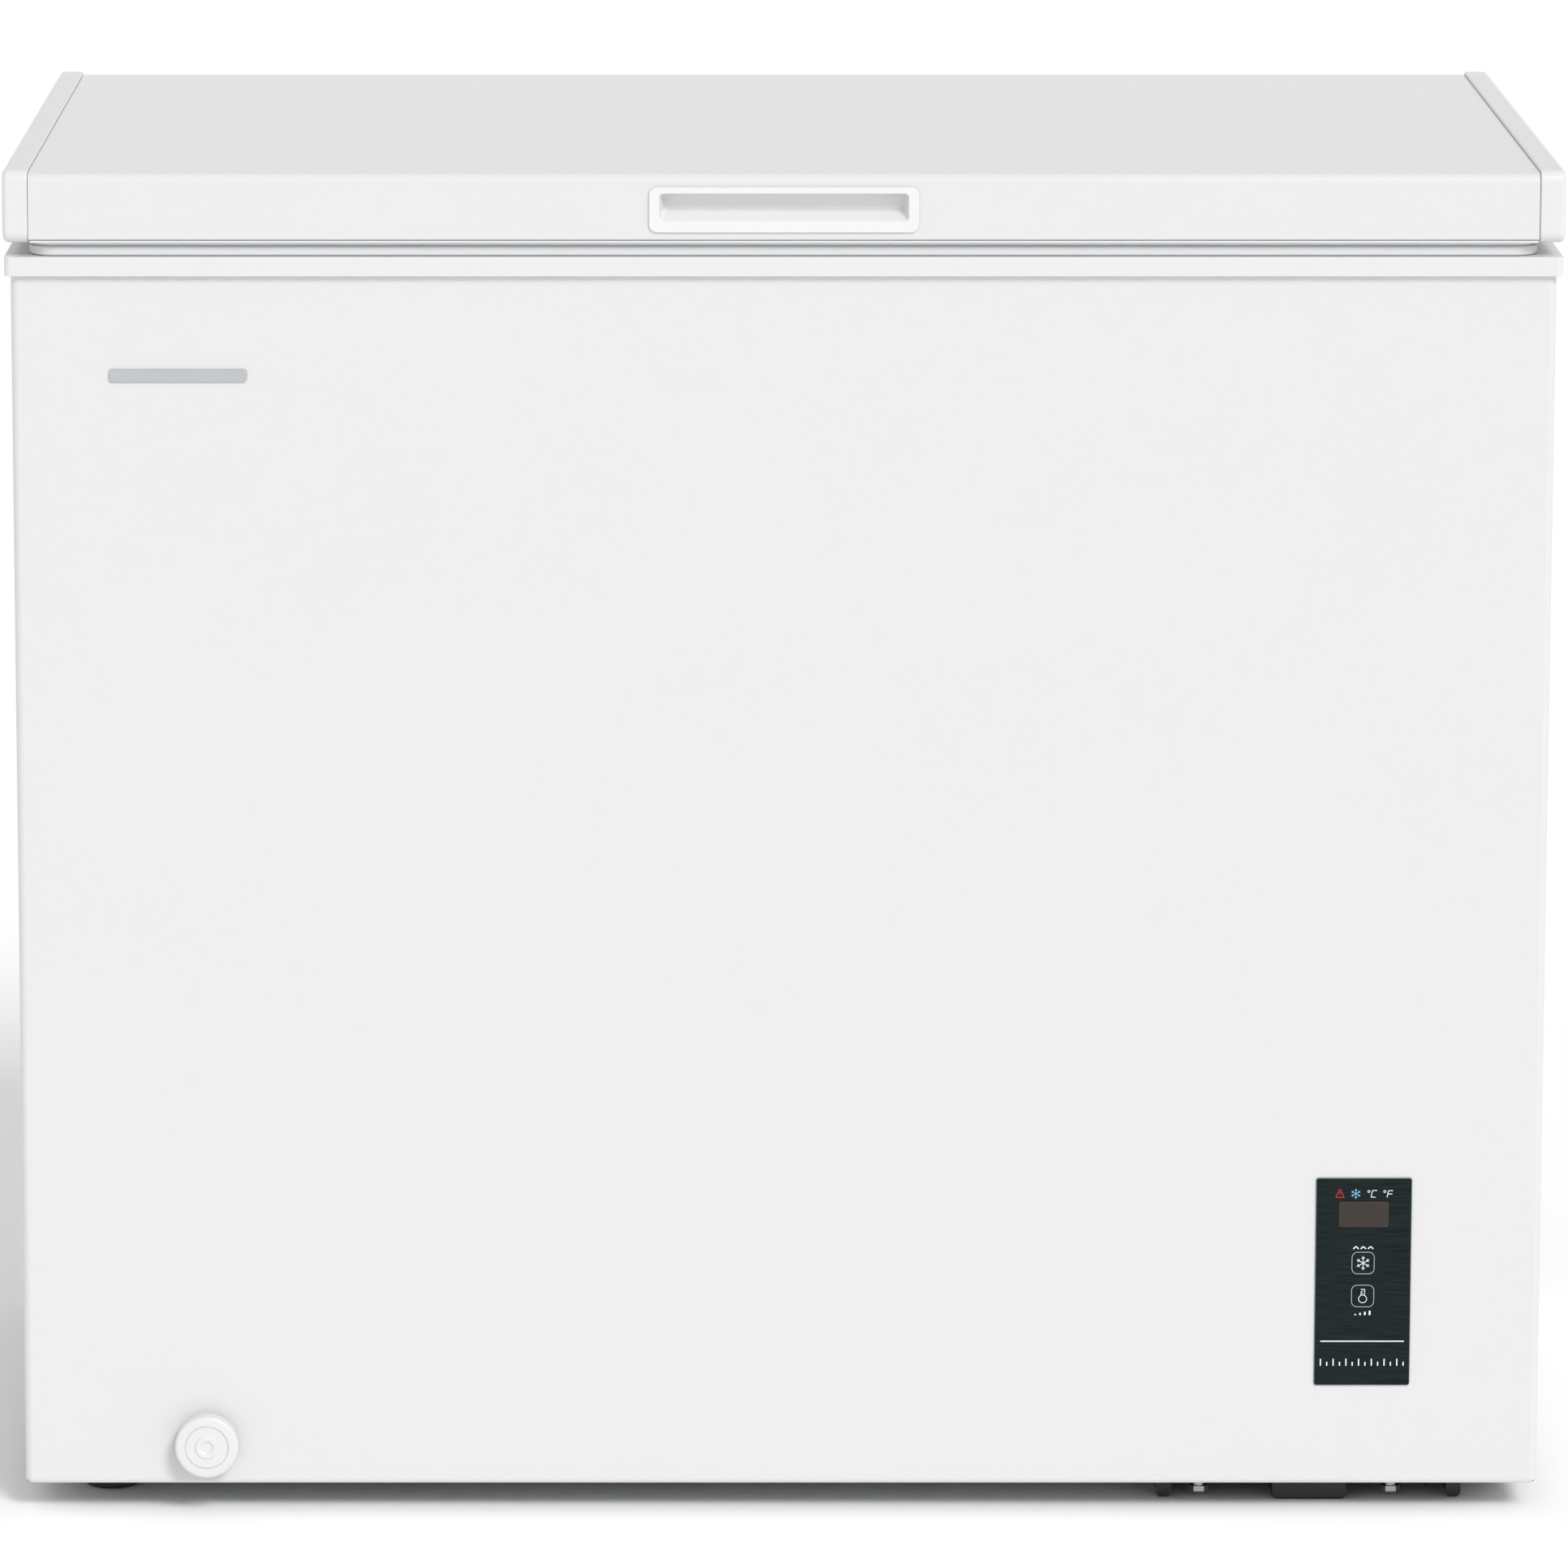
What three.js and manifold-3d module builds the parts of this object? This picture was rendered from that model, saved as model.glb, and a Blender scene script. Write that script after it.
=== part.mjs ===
// Chest freezer: an insulated cabinet with a stepped tub, a hinged lid, a wire basket,
// a compressor unit in the right-hand rear corner and a small control panel low on the front.
// Millimetres, +Z up. The front faces -Y. The origin is on the floor under the middle of the box.
import * as THREE from 'three';
import { mergeVertices } from 'three/addons/utils/BufferGeometryUtils.js';
import Module from 'manifold-3d';

const wasm = await Module();
wasm.setup();

// ---------------------------------------------------------------- driving dimensions
const GAP = 0.3; // clearance between pieces that touch
const SHEET = 1.0; // folded steel sheet of the cabinet

const CABINET = { width: 952, depth: 545, bottom: 17, top: 783.8, cornerRadius: 5 };
const FRAME = { width: 959, depth: 553, bottom: 784.1, top: 796, cornerRadius: 4 };
const FRAME_LEDGE = { width: 10, top: 788 }; // rabbet that carries the basket's hangers
const TUB = {
  width: 840, depth: 432, floor: 75, stepX: 205, stepFloor: 300, cornerRadius: 22, sheet: 1.5, flange: 16,
};
const BAY = { left: 256, front: -220, roof: 245 }; // compressor bay
const LID = { width: 960, depth: 556, bottom: 804.7, skinBottom: 806.6, skinTop: 848, top: 850 };
const CAP = { width: 15.5, proud: 1, cornerRadius: 6, edge: 2 }; // white end caps of the lid
const LID_SHEET = 0.8;
const LID_LINER = { sheet: 1.6, plugWidth: 810, plugDepth: 400, plugBottom: 786.7, cornerRadius: 15 };
const GASKET = { width: 918, depth: 532, band: 14 };
const HANDLE = {
  width: 166, height: 28, z: 825.5, proud: 1.5, mouthWidth: 156, mouthHeight: 20, depth: 20, wall: 1.5,
};

const PANEL = { x: 364.8, z: 148, width: 60.2, height: 133.7, cornerRadius: 1.5, front: 1.1 };
const WINDOW = { x: 0.1, z: 43.4, width: 31.7, height: 16.9, cornerRadius: 1.2 };
const KEY = { size: 14.5, cornerRadius: 3.7, depth: 2.1, superZ: 12.1, tempZ: -9.1 };
const HOUSING = { width: 52, height: 125, depth: 22, wall: 1.5 };
const BADGE = { x: -373.3, z: 722, width: 85, height: 8 };

const DRAIN = { x: -361, y: -190, z: 44, knobRadius: 20, knobFront: -287.5 };
const HINGE = { x: 300, y: 281.5, z: 798, pinRadius: 2.5, knuckleRadius: 5, width: 44 };
const BASKET = { left: 214, right: 404, depth: 412, bottom: 640, top: 782, wall: 4 };
const TRAY = {
  x: 334.6, width: 193, front: -250, back: 266, top: 16.7, sheet: 2, railWidth: 9.5, railFront: -240,
};
const SKID = { width: 47.6, depth: 40, front: -246 };
const TRAY_BOLT = { x: [265, 386.5], y: -238, bottom: 3.5 };
const BOLT = { radius: 4, headRadius: 6.5, headHeight: 4 };
const COMPRESSOR = { x: 334.6, y: 150, base: 30, top: 196, radius: 68, footX: 66, footY: 78 };
const FOOT = { x: -425, y: 205, radius: 18, top: 16.7 };
const SPACER = { x: 430, z: 480, size: 26, back: 287.5 };
const GLAND = { x: 284, z: 34, sleeve: 5.7, flange: 9, bore: 3.6, back: 284.5 };
const EVAPORATOR = { radius: 4, runs: 6, lowest: 350, pitch: 78 };
const CONDENSER = { radius: 3, runs: 6, lowest: 130, pitch: 110 };

// ---------------------------------------------------------------- materials
function finish(color, roughness, metalness) {
  return new THREE.MeshStandardMaterial({ color, roughness, metalness });
}
const whiteEnamel = finish(0xeeeff1, 0.35, 0.0);
const whitePlastic = finish(0xf3f3f3, 0.4, 0.0);
const gasketVinyl = finish(0xdadbdc, 0.6, 0.0);
const zincSteel = finish(0xa9acad, 0.45, 0.9);
const blackSteel = finish(0x1b1b1c, 0.45, 0.0);
const blackPlastic = finish(0x202122, 0.55, 0.0);
const panelFilm = finish(0x1f2a2b, 0.35, 0.2);
const smokedWindow = finish(0x4a4441, 0.25, 0.0);
const brushedMetal = finish(0xb9bcc0, 0.3, 1.0);
const aluminiumSheet = finish(0xc9ccd0, 0.4, 1.0);
const copper = finish(0xb87352, 0.35, 1.0);
const foam = finish(0xe6d9a8, 0.95, 0.0);
const rubber = finish(0x262626, 0.8, 0.0);
const circuitBoard = finish(0x1f5a3a, 0.5, 0.0);
const coatedWire = finish(0xf0f1f2, 0.35, 0.0);

// ---------------------------------------------------------------- joining and cutting
function solidOf(geometry) {
  const bare = geometry.clone();
  bare.deleteAttribute('normal');
  bare.deleteAttribute('uv');
  const merged = mergeVertices(bare, 1e-4);
  return new wasm.Manifold(new wasm.Mesh({
    numProp: 3,
    vertProperties: new Float32Array(merged.attributes.position.array),
    triVerts: new Uint32Array(merged.index.array),
  }));
}

function geometryOf(solid) {
  const mesh = solid.getMesh();
  const geometry = new THREE.BufferGeometry();
  geometry.setAttribute('position', new THREE.BufferAttribute(mesh.vertProperties, 3));
  geometry.setIndex(new THREE.BufferAttribute(mesh.triVerts, 1));
  geometry.computeVertexNormals();
  return geometry;
}

function join(first, ...others) {
  return geometryOf(others.reduce((sum, other) => sum.add(solidOf(other)), solidOf(first)));
}

function cut(body, ...tools) {
  return geometryOf(tools.reduce((left, tool) => left.subtract(solidOf(tool)), solidOf(body)));
}

// ---------------------------------------------------------------- basic shapes
const X = new THREE.Vector3(1, 0, 0);
const Y = new THREE.Vector3(0, 1, 0);
const Z = new THREE.Vector3(0, 0, 1);
const UP = [X, Y]; // outline in X and Y, pulled up
const FRONT = [X, Z]; // outline in X and Z, pulled towards the front
const SIDE = [Y, Z]; // outline in Y and Z, pulled towards +X

function block(x0, x1, y0, y1, z0, z1) {
  const geometry = new THREE.BoxGeometry(x1 - x0, y1 - y0, z1 - z0);
  return geometry.translate((x0 + x1) / 2, (y0 + y1) / 2, (z0 + z1) / 2);
}

function roundedRect(width, height, radius, centreX = 0, centreY = 0) {
  const [right, top] = [width / 2 - radius, height / 2 - radius];
  const shape = new THREE.Shape();
  shape.absarc(centreX + right, centreY + top, radius, 0, Math.PI / 2);
  shape.absarc(centreX - right, centreY + top, radius, Math.PI / 2, Math.PI);
  shape.absarc(centreX - right, centreY - top, radius, Math.PI, 1.5 * Math.PI);
  shape.absarc(centreX + right, centreY - top, radius, 1.5 * Math.PI, 2 * Math.PI);
  return shape;
}

function prism(shape, length, [along, up], origin = [0, 0, 0], curveSegments = 2) {
  const geometry = new THREE.ExtrudeGeometry(shape, { depth: length, bevelEnabled: false, curveSegments });
  const pull = new THREE.Vector3().crossVectors(along, up);
  geometry.applyMatrix4(new THREE.Matrix4().makeBasis(along, up, pull));
  return geometry.translate(...origin);
}

function slab(width, depth, z0, z1, radius, curveSegments = 2) {
  return prism(roundedRect(width, depth, radius), z1 - z0, UP, [0, 0, z0], curveSegments);
}

function facePlate(width, height, radius, yBack, yFront, curveSegments = 2) {
  return prism(roundedRect(width, height, radius), yBack - yFront, FRONT, [0, yBack, 0], curveSegments);
}

// A channel of bent sheet: the base lies on y = 0 and the two legs rise to y = height.
function channel(width, height, radius, thickness) {
  const half = width / 2;
  const shape = new THREE.Shape();
  shape.moveTo(-half, height);
  shape.lineTo(-half, radius);
  shape.absarc(-half + radius, radius, radius, Math.PI, 1.5 * Math.PI);
  shape.absarc(half - radius, radius, radius, 1.5 * Math.PI, 2 * Math.PI);
  shape.lineTo(half, height);
  shape.lineTo(half - thickness, height);
  shape.absarc(half - radius, radius, radius - thickness, 2 * Math.PI, 1.5 * Math.PI, true);
  shape.absarc(-half + radius, radius, radius - thickness, 1.5 * Math.PI, Math.PI, true);
  shape.lineTo(-half + thickness, height);
  return shape;
}

// A rod, centred on the origin, along X, Y or Z.
function rod(radius, length, axis, sides = 20) {
  const geometry = new THREE.CylinderGeometry(radius, radius, length, sides);
  if (axis === X) geometry.rotateZ(Math.PI / 2);
  if (axis === Z) geometry.rotateX(Math.PI / 2);
  return geometry;
}

// A turned piece about Z from a profile of [radius, height] pairs, bottom to top.
function turned(profile, sides = 20) {
  const points = profile.map(([radius, height]) => new THREE.Vector2(radius, height));
  return new THREE.LatheGeometry(points, sides).rotateX(Math.PI / 2);
}

// ---------------------------------------------------------------- tubes
// A route visits its points one by one, however far apart they are.
class Route extends THREE.Curve {
  constructor(points) {
    super();
    this.points = points;
  }

  getUtoTmapping(u) {
    return u;
  }

  getPoint(t, target = new THREE.Vector3()) {
    const place = t * (this.points.length - 1);
    const index = Math.min(Math.floor(place), this.points.length - 2);
    return target.lerpVectors(this.points[index], this.points[index + 1], place - index);
  }

  getTangent(t, target = new THREE.Vector3()) {
    const last = this.points.length - 1;
    const index = Math.round(t * last);
    const before = this.points[Math.max(index - 1, 0)];
    const after = this.points[Math.min(index + 1, last)];
    const here = this.points[index];
    target.copy(here).sub(before).normalize();
    return target.add(after.clone().sub(here).normalize()).normalize();
  }
}

// Corner points become arcs of `bend` mm, drawn with a few points each.
function bentRoute(corners, bend, pointsPerBend = 3) {
  const points = corners.map((corner) => new THREE.Vector3(...corner));
  const route = [points[0]];
  for (let i = 1; i < points.length - 1; i += 1) {
    const back = points[i - 1].clone().sub(points[i]);
    const ahead = points[i + 1].clone().sub(points[i]);
    const reach = Math.min(bend, back.length() / 2.1, ahead.length() / 2.1);
    const arc = new THREE.QuadraticBezierCurve3(
      points[i].clone().add(back.setLength(reach)),
      points[i],
      points[i].clone().add(ahead.setLength(reach)),
    );
    route.push(...arc.getPoints(pointsPerBend - 1));
  }
  route.push(points[points.length - 1]);
  return route;
}

function ringShape(radius, sides, boreRadius = 0) {
  const circle = (r) => Array.from({ length: sides }, (_, i) => {
    const turn = (2 * Math.PI * i) / sides;
    return new THREE.Vector2(r * Math.cos(turn), r * Math.sin(turn));
  });
  const shape = new THREE.Shape(circle(radius));
  if (boreRadius > 0) shape.holes.push(new THREE.Path(circle(boreRadius).reverse()));
  return shape;
}

function pipe(points, radius, sides = 8, boreRadius = 0) {
  return new THREE.ExtrudeGeometry(ringShape(radius, sides, boreRadius), {
    steps: points.length - 1,
    bevelEnabled: false,
    extrudePath: new Route(points),
  });
}

// ---------------------------------------------------------------- the assembly
const freezer = new THREE.Group();
freezer.name = 'chest_freezer';

function group(parent, x = 0, y = 0, z = 0) {
  const child = new THREE.Group();
  child.position.set(x, y, z);
  parent.add(child);
  return child;
}

function addPiece(parent, name, geometry, material, position = [0, 0, 0]) {
  const mesh = new THREE.Mesh(geometry, material);
  mesh.name = name;
  mesh.position.set(...position);
  parent.add(mesh);
  return mesh;
}

const cabinetFront = -CABINET.depth / 2;
const cabinetBack = CABINET.depth / 2;
const lidFront = -LID.depth / 2;

// ---------------------------------------------------------------- cabinet sheet metal
const cabinet = group(freezer);

function cabinetWrap() {
  const shape = channel(CABINET.width, CABINET.depth, CABINET.cornerRadius, SHEET);
  const height = CABINET.top - CABINET.bottom;
  const sheet = prism(shape, height, UP, [0, cabinetFront, CABINET.bottom]);
  const panelHole = block(
    PANEL.x - HOUSING.width / 2 - GAP, PANEL.x + HOUSING.width / 2 + GAP,
    cabinetFront - 5, cabinetFront + 5,
    PANEL.z - HOUSING.height / 2 - GAP, PANEL.z + HOUSING.height / 2 + GAP,
  );
  const drainHole = rod(14, 10, Y).translate(DRAIN.x, cabinetFront, DRAIN.z);
  return cut(sheet, panelHole, drainHole);
}

function rearPanel() {
  const half = CABINET.width / 2 - SHEET - GAP;
  const sheet = block(-half, half, cabinetBack - SHEET, cabinetBack, CABINET.bottom, CABINET.top);
  return cut(sheet, block(BAY.left + 6, half - 14, 0, 400, CABINET.bottom - 1, BAY.roof - 10));
}

function bottomPanel() {
  const half = CABINET.width / 2 - SHEET - GAP;
  const depth = cabinetBack - SHEET - GAP;
  const radius = CABINET.cornerRadius - SHEET;
  const sheet = slab(2 * half, 2 * depth, CABINET.bottom, CABINET.bottom + SHEET, radius);
  return cut(sheet, block(BAY.left, half - 10, BAY.front, 400, 0, 40));
}

// Louvred cover of the compressor bay, with the hole that the mains lead leaves by.
const grilleSheet = 1.5;

function rearGrille() {
  const [left, right] = [BAY.left + 2, CABINET.width / 2 - 11];
  const [bottom, top] = [CABINET.bottom + 4, BAY.roof - 5];
  const back = cabinetBack + GAP;
  const slots = [];
  for (let z = bottom + 25; z < top - 20; z += 14) {
    slots.push(block(left + 25, right - 25, back - 5, back + 5, z, z + 5));
  }
  const glandHole = rod(GLAND.sleeve + GAP, 20, Y).translate(GLAND.x, back, GLAND.z);
  return cut(block(left, right, back, back + grilleSheet, bottom, top), glandHole, ...slots);
}

addPiece(cabinet, 'cabinet_wrap', cabinetWrap(), whiteEnamel);
addPiece(cabinet, 'rear_panel', rearPanel(), whiteEnamel);
addPiece(cabinet, 'bottom_panel', bottomPanel(), zincSteel);
addPiece(cabinet, 'rear_grille', rearGrille(), blackSteel);

// ---------------------------------------------------------------- tub, frame and insulation
// The stepped tub as a closed block, grown by `grow` on every side and open to `top`.
function tubBlock(grow, top) {
  const width = TUB.width + 2 * grow;
  const depth = TUB.depth + 2 * grow;
  const whole = slab(width, depth, TUB.floor - grow, top, TUB.cornerRadius + grow);
  const step = block(TUB.stepX + grow, width, -depth, depth, 0, TUB.stepFloor - grow);
  return cut(whole, step);
}

function innerLiner() {
  const width = TUB.width + 2 * TUB.flange;
  const depth = TUB.depth + 2 * TUB.flange;
  const radius = TUB.cornerRadius + TUB.flange;
  const flange = slab(width, depth, CABINET.top - TUB.sheet, CABINET.top, radius);
  const shell = join(tubBlock(TUB.sheet, CABINET.top), flange);
  const drainHole = rod(8, 20, Z).translate(DRAIN.x, DRAIN.y, TUB.floor);
  return cut(shell, tubBlock(0, CABINET.top + 10), drainHole);
}

function topFrame() {
  const ring = slab(FRAME.width, FRAME.depth, FRAME.bottom, FRAME.top, FRAME.cornerRadius);
  const overhang = 2;
  const [halfX, halfY] = [TUB.width / 2 - overhang, TUB.depth / 2 - overhang];
  const opening = slab(2 * halfX, 2 * halfY, 0, 900, TUB.cornerRadius);
  const ledgeX = halfX - FRAME_LEDGE.width;
  const ledgeY = halfY + FRAME_LEDGE.width;
  const ledge = block(-ledgeX, ledgeX, -ledgeY, ledgeY, FRAME_LEDGE.top, 900);
  return cut(ring, opening, ledge);
}

// Runs of tube stacked up a wall, joined by short risers at alternate ends.
function serpentine(runOf, { runs, lowest, pitch }) {
  const corners = [];
  for (let i = 0; i < runs; i += 1) {
    const run = runOf(lowest + i * pitch);
    corners.push(...(i % 2 === 0 ? run : run.reverse()));
  }
  return corners;
}

// The evaporator lies against the outside of the tub, round three walls, above the step.
function evaporatorRoute() {
  const side = TUB.width / 2 + TUB.sheet + EVAPORATOR.radius + GAP;
  const front = -(TUB.depth / 2 + TUB.sheet + EVAPORATOR.radius + GAP);
  const [riserY, returnY, end] = [198, 214, BAY.roof - 10];
  const run = (z) => [[side, riserY, z], [side, front, z], [-side, front, z], [-side, riserY, z]];
  const corners = serpentine(run, EVAPORATOR);
  const top = EVAPORATOR.lowest + (EVAPORATOR.runs - 1) * EVAPORATOR.pitch;
  corners[corners.length - 1] = [side, returnY, top];
  return bentRoute([[side, riserY, end], ...corners, [side, returnY, end]], 22);
}

// The condenser lies against the inside of the cabinet's left and front walls.
function condenserRoute() {
  const reach = SHEET + CONDENSER.radius + GAP;
  const left = -CABINET.width / 2 + reach;
  const front = cabinetFront + reach;
  const [riserY, inletX, outletX, end] = [230, 275, 300, BAY.front + 14];
  const run = (z) => [[outletX - 60, front, z], [left, front, z], [left, riserY, z]];
  const corners = serpentine(run, CONDENSER);
  const top = CONDENSER.lowest + (CONDENSER.runs - 1) * CONDENSER.pitch;
  corners[0] = [inletX, front, CONDENSER.lowest];
  corners[corners.length - 1] = [outletX, front, top];
  const outletZ = CONDENSER.lowest + 40;
  return bentRoute(
    [[inletX, end, CONDENSER.lowest], ...corners, [outletX, front, outletZ], [outletX, end, outletZ]], 18,
  );
}

function drainRoute() {
  return bentRoute([
    [DRAIN.x, cabinetFront + 11, DRAIN.z],
    [DRAIN.x, DRAIN.y, DRAIN.z],
    [DRAIN.x, DRAIN.y, TUB.floor - TUB.sheet - GAP],
  ], 14);
}

const SENSOR = { x: -120, z: 520, radius: 3, length: 40 };
const sensorY = TUB.depth / 2 + TUB.sheet + SENSOR.radius + GAP;

function cabinetFoam() {
  const halfX = CABINET.width / 2 - SHEET - GAP;
  const halfY = CABINET.depth / 2 - SHEET - GAP;
  const bottom = CABINET.bottom + SHEET + GAP;
  const top = CABINET.top - TUB.sheet - GAP;
  const core = slab(2 * halfX, 2 * halfY, bottom, top, CABINET.cornerRadius - SHEET);
  const bay = block(BAY.left, 500, BAY.front, 400, 0, BAY.roof);
  const pocket = block(
    PANEL.x - HOUSING.width / 2 - GAP, PANEL.x + HOUSING.width / 2 + GAP,
    cabinetFront, cabinetFront + HOUSING.depth + GAP,
    PANEL.z - HOUSING.height / 2 - GAP, PANEL.z + HOUSING.height / 2 + GAP,
  );
  const spoutHole = rod(14, 24, Y).translate(DRAIN.x, cabinetFront, DRAIN.z);
  const sensorHole = rod(SENSOR.radius + 1, SENSOR.length + 2, Z, 8).translate(SENSOR.x, sensorY, SENSOR.z);
  return cut(
    core, tubBlock(TUB.sheet + GAP, 900), bay, pocket, spoutHole, sensorHole,
    pipe(evaporatorRoute(), EVAPORATOR.radius + 2.5, 4),
    pipe(condenserRoute(), CONDENSER.radius + 2, 4),
    pipe(drainRoute(), 10.5, 8),
  );
}

addPiece(cabinet, 'inner_liner', innerLiner(), aluminiumSheet);
addPiece(cabinet, 'top_frame', topFrame(), whitePlastic);
addPiece(cabinet, 'cabinet_foam', cabinetFoam(), foam);
addPiece(cabinet, 'evaporator_coil', pipe(evaporatorRoute(), EVAPORATOR.radius), copper);
addPiece(cabinet, 'condenser_coil', pipe(condenserRoute(), CONDENSER.radius), copper);
addPiece(cabinet, 'temperature_sensor', rod(SENSOR.radius, SENSOR.length, Z, 12), zincSteel, [
  SENSOR.x, sensorY, SENSOR.z,
]);

// ---------------------------------------------------------------- control panel
const controls = group(freezer, PANEL.x, cabinetFront, PANEL.z);

function fascia() {
  const plate = facePlate(PANEL.width, PANEL.height, PANEL.cornerRadius, -GAP, -PANEL.front);
  const windowHole = prism(
    roundedRect(WINDOW.width + 2 * GAP, WINDOW.height + 2 * GAP, WINDOW.cornerRadius, WINDOW.x, WINDOW.z),
    10, FRONT, [0, 5, 0],
  );
  const keyHoles = [KEY.superZ, KEY.tempZ].map((z) => prism(
    roundedRect(KEY.size + 2 * GAP, KEY.size + 2 * GAP, KEY.cornerRadius + GAP, 0, z), 10, FRONT, [0, 5, 0],
  ));
  return cut(plate, windowHole, ...keyHoles);
}

function controlHousing() {
  const { width, height, depth, wall } = HOUSING;
  const outer = block(-width / 2, width / 2, 0, depth, -height / 2, height / 2);
  const [innerX, innerZ] = [width / 2 - wall, height / 2 - wall];
  const inner = block(-innerX, innerX, -1, depth - wall, -innerZ, innerZ);
  const posts = [-1, 1].flatMap((sx) => [-1, 1].map((sz) => rod(2.5, 8, Y, 12)
    .translate(sx * (width / 2 - 7), depth - 5, sz * (height / 2 - 7))));
  return join(cut(outer, inner), ...posts);
}

// The board carries the display module, two dome switches and a cable socket.
function controlBoard() {
  const [front, back] = [10.8, 12.4];
  const board = block(-23, 23, front, back, -58, 58);
  const display = block(-15, 15, 1.2, front + 0.5, WINDOW.z - 8, WINDOW.z + 8);
  const switches = [KEY.superZ, KEY.tempZ].map((z) => rod(3, 9.2, Y, 16).translate(0, 6.6, z));
  const socket = block(-12, 12, 4, front + 0.5, -50, -40);
  return join(board, display, ...switches, socket);
}

function keyCap() {
  return facePlate(KEY.size, KEY.size, KEY.cornerRadius, 1, 1 - KEY.depth, 5);
}

addPiece(controls, 'control_fascia', fascia(), panelFilm);
addPiece(controls, 'display_window', facePlate(WINDOW.width, WINDOW.height, 0.9, 0.6, -1), smokedWindow, [
  WINDOW.x, 0, WINDOW.z,
]);
addPiece(controls, 'control_housing', controlHousing(), blackPlastic);
addPiece(controls, 'control_board', controlBoard(), circuitBoard);
addPiece(controls, 'super_key', keyCap(), panelFilm, [0, 0, KEY.superZ]);
addPiece(controls, 'temp_key', keyCap(), panelFilm, [0, 0, KEY.tempZ]);
addPiece(cabinet, 'badge_plate', facePlate(BADGE.width, BADGE.height, 2, -GAP, -1.3), brushedMetal, [
  BADGE.x, cabinetFront, BADGE.z,
]);

// ---------------------------------------------------------------- drain
const drain = group(freezer, DRAIN.x, cabinetFront, DRAIN.z);
const knobDepth = cabinetFront - DRAIN.knobFront;

function drainSpout() {
  const flange = rod(18, 3, Y).translate(0, -GAP - 1.5, 0);
  const sleeve = rod(13.5, 14, Y).translate(0, 4, 0);
  return cut(join(flange, sleeve), rod(9, 60, Y));
}

function drainCap() {
  const disc = rod(DRAIN.knobRadius, knobDepth - 3.6, Y, 32).translate(0, -(knobDepth + 3.6) / 2, 0);
  const stem = rod(8.4, 18, Y).translate(0, 0.5, 0);
  return join(disc, stem);
}

function drainPlug() {
  return turned([[0, -10], [5.2, -10], [5.4, GAP], [15, GAP], [15, 2.5], [12, 4], [0, 4]]);
}

addPiece(drain, 'drain_spout', drainSpout(), whitePlastic);
addPiece(drain, 'drain_cap', drainCap(), whitePlastic);
addPiece(cabinet, 'drain_tube', pipe(drainRoute(), 9, 16, 6), whitePlastic);
addPiece(cabinet, 'drain_plug', drainPlug(), rubber, [DRAIN.x, DRAIN.y, TUB.floor]);

// ---------------------------------------------------------------- compressor unit
const machine = group(freezer, COMPRESSOR.x, COMPRESSOR.y, 0);

function compressorTray() {
  const half = TRAY.width / 2;
  const plate = block(-half, half, TRAY.front, TRAY.back, TRAY.top - TRAY.sheet, TRAY.top);
  const rails = [-half, half - TRAY.railWidth].map((x) => block(
    x, x + TRAY.railWidth, TRAY.railFront, TRAY.back, 0, TRAY.top - 1,
  ));
  return join(plate, ...rails);
}

function skid() {
  const outline = roundedRect(SKID.width, TRAY.top - TRAY.sheet - GAP, 4);
  return prism(outline, SKID.depth, FRONT, [0, SKID.depth / 2, (TRAY.top - TRAY.sheet - GAP) / 2]);
}

function compressor() {
  const { base, top, radius, footX, footY } = COMPRESSOR;
  const middle = (base + top) / 2;
  const shell = turned([
    [0, base + 1], [radius * 0.72, base + 4], [radius * 0.94, base + 22], [radius, middle - 5],
    [radius + 3, middle - 5], [radius + 3, middle + 5],
    [radius, middle + 5], [radius * 0.95, top - 30], [radius * 0.72, top - 8], [0, top],
  ], 28);
  const plate = prism(roundedRect(2 * footX + 20, 2 * footY + 20, 12), 3, UP, [0, 0, base]);
  const holes = footings().map(([x, y]) => rod(5, 20, Z, 16).translate(x, y, base));
  const terminals = block(-12, 12, radius - 6, radius + 4, middle - 40, middle - 14);
  return cut(join(shell, plate, terminals), ...holes);
}

function footings() {
  const { footX, footY } = COMPRESSOR;
  return [[-footX, -footY], [footX, -footY], [-footX, footY], [footX, footY]];
}

function grommet() {
  return cut(rod(10, COMPRESSOR.base - TRAY.top - 2 * GAP, Z, 20), rod(4.4, 40, Z, 16));
}

// A bolt through tray, grommet and foot: hexagon head below, thread above.
function mountingBolt(headBottom, tip) {
  const length = tip - headBottom;
  return join(
    rod(BOLT.headRadius, BOLT.headHeight, Z, 6).translate(0, 0, headBottom + BOLT.headHeight / 2),
    rod(BOLT.radius, length, Z, 16).translate(0, 0, headBottom + length / 2),
  );
}

const relayCover = block(-24, 24, 0, 26, -26, 22);
const compressorMiddle = (COMPRESSOR.base + COMPRESSOR.top) / 2;
const boltHoles = [...footings().map(([x, y]) => [x + COMPRESSOR.x, y + COMPRESSOR.y]),
  ...TRAY_BOLT.x.map((x) => [x, TRAY_BOLT.y])];
const trayHoles = boltHoles.map(([x, y]) => rod(BOLT.radius + GAP, 60, Z, 16).translate(x - TRAY.x, y, 0));

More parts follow.
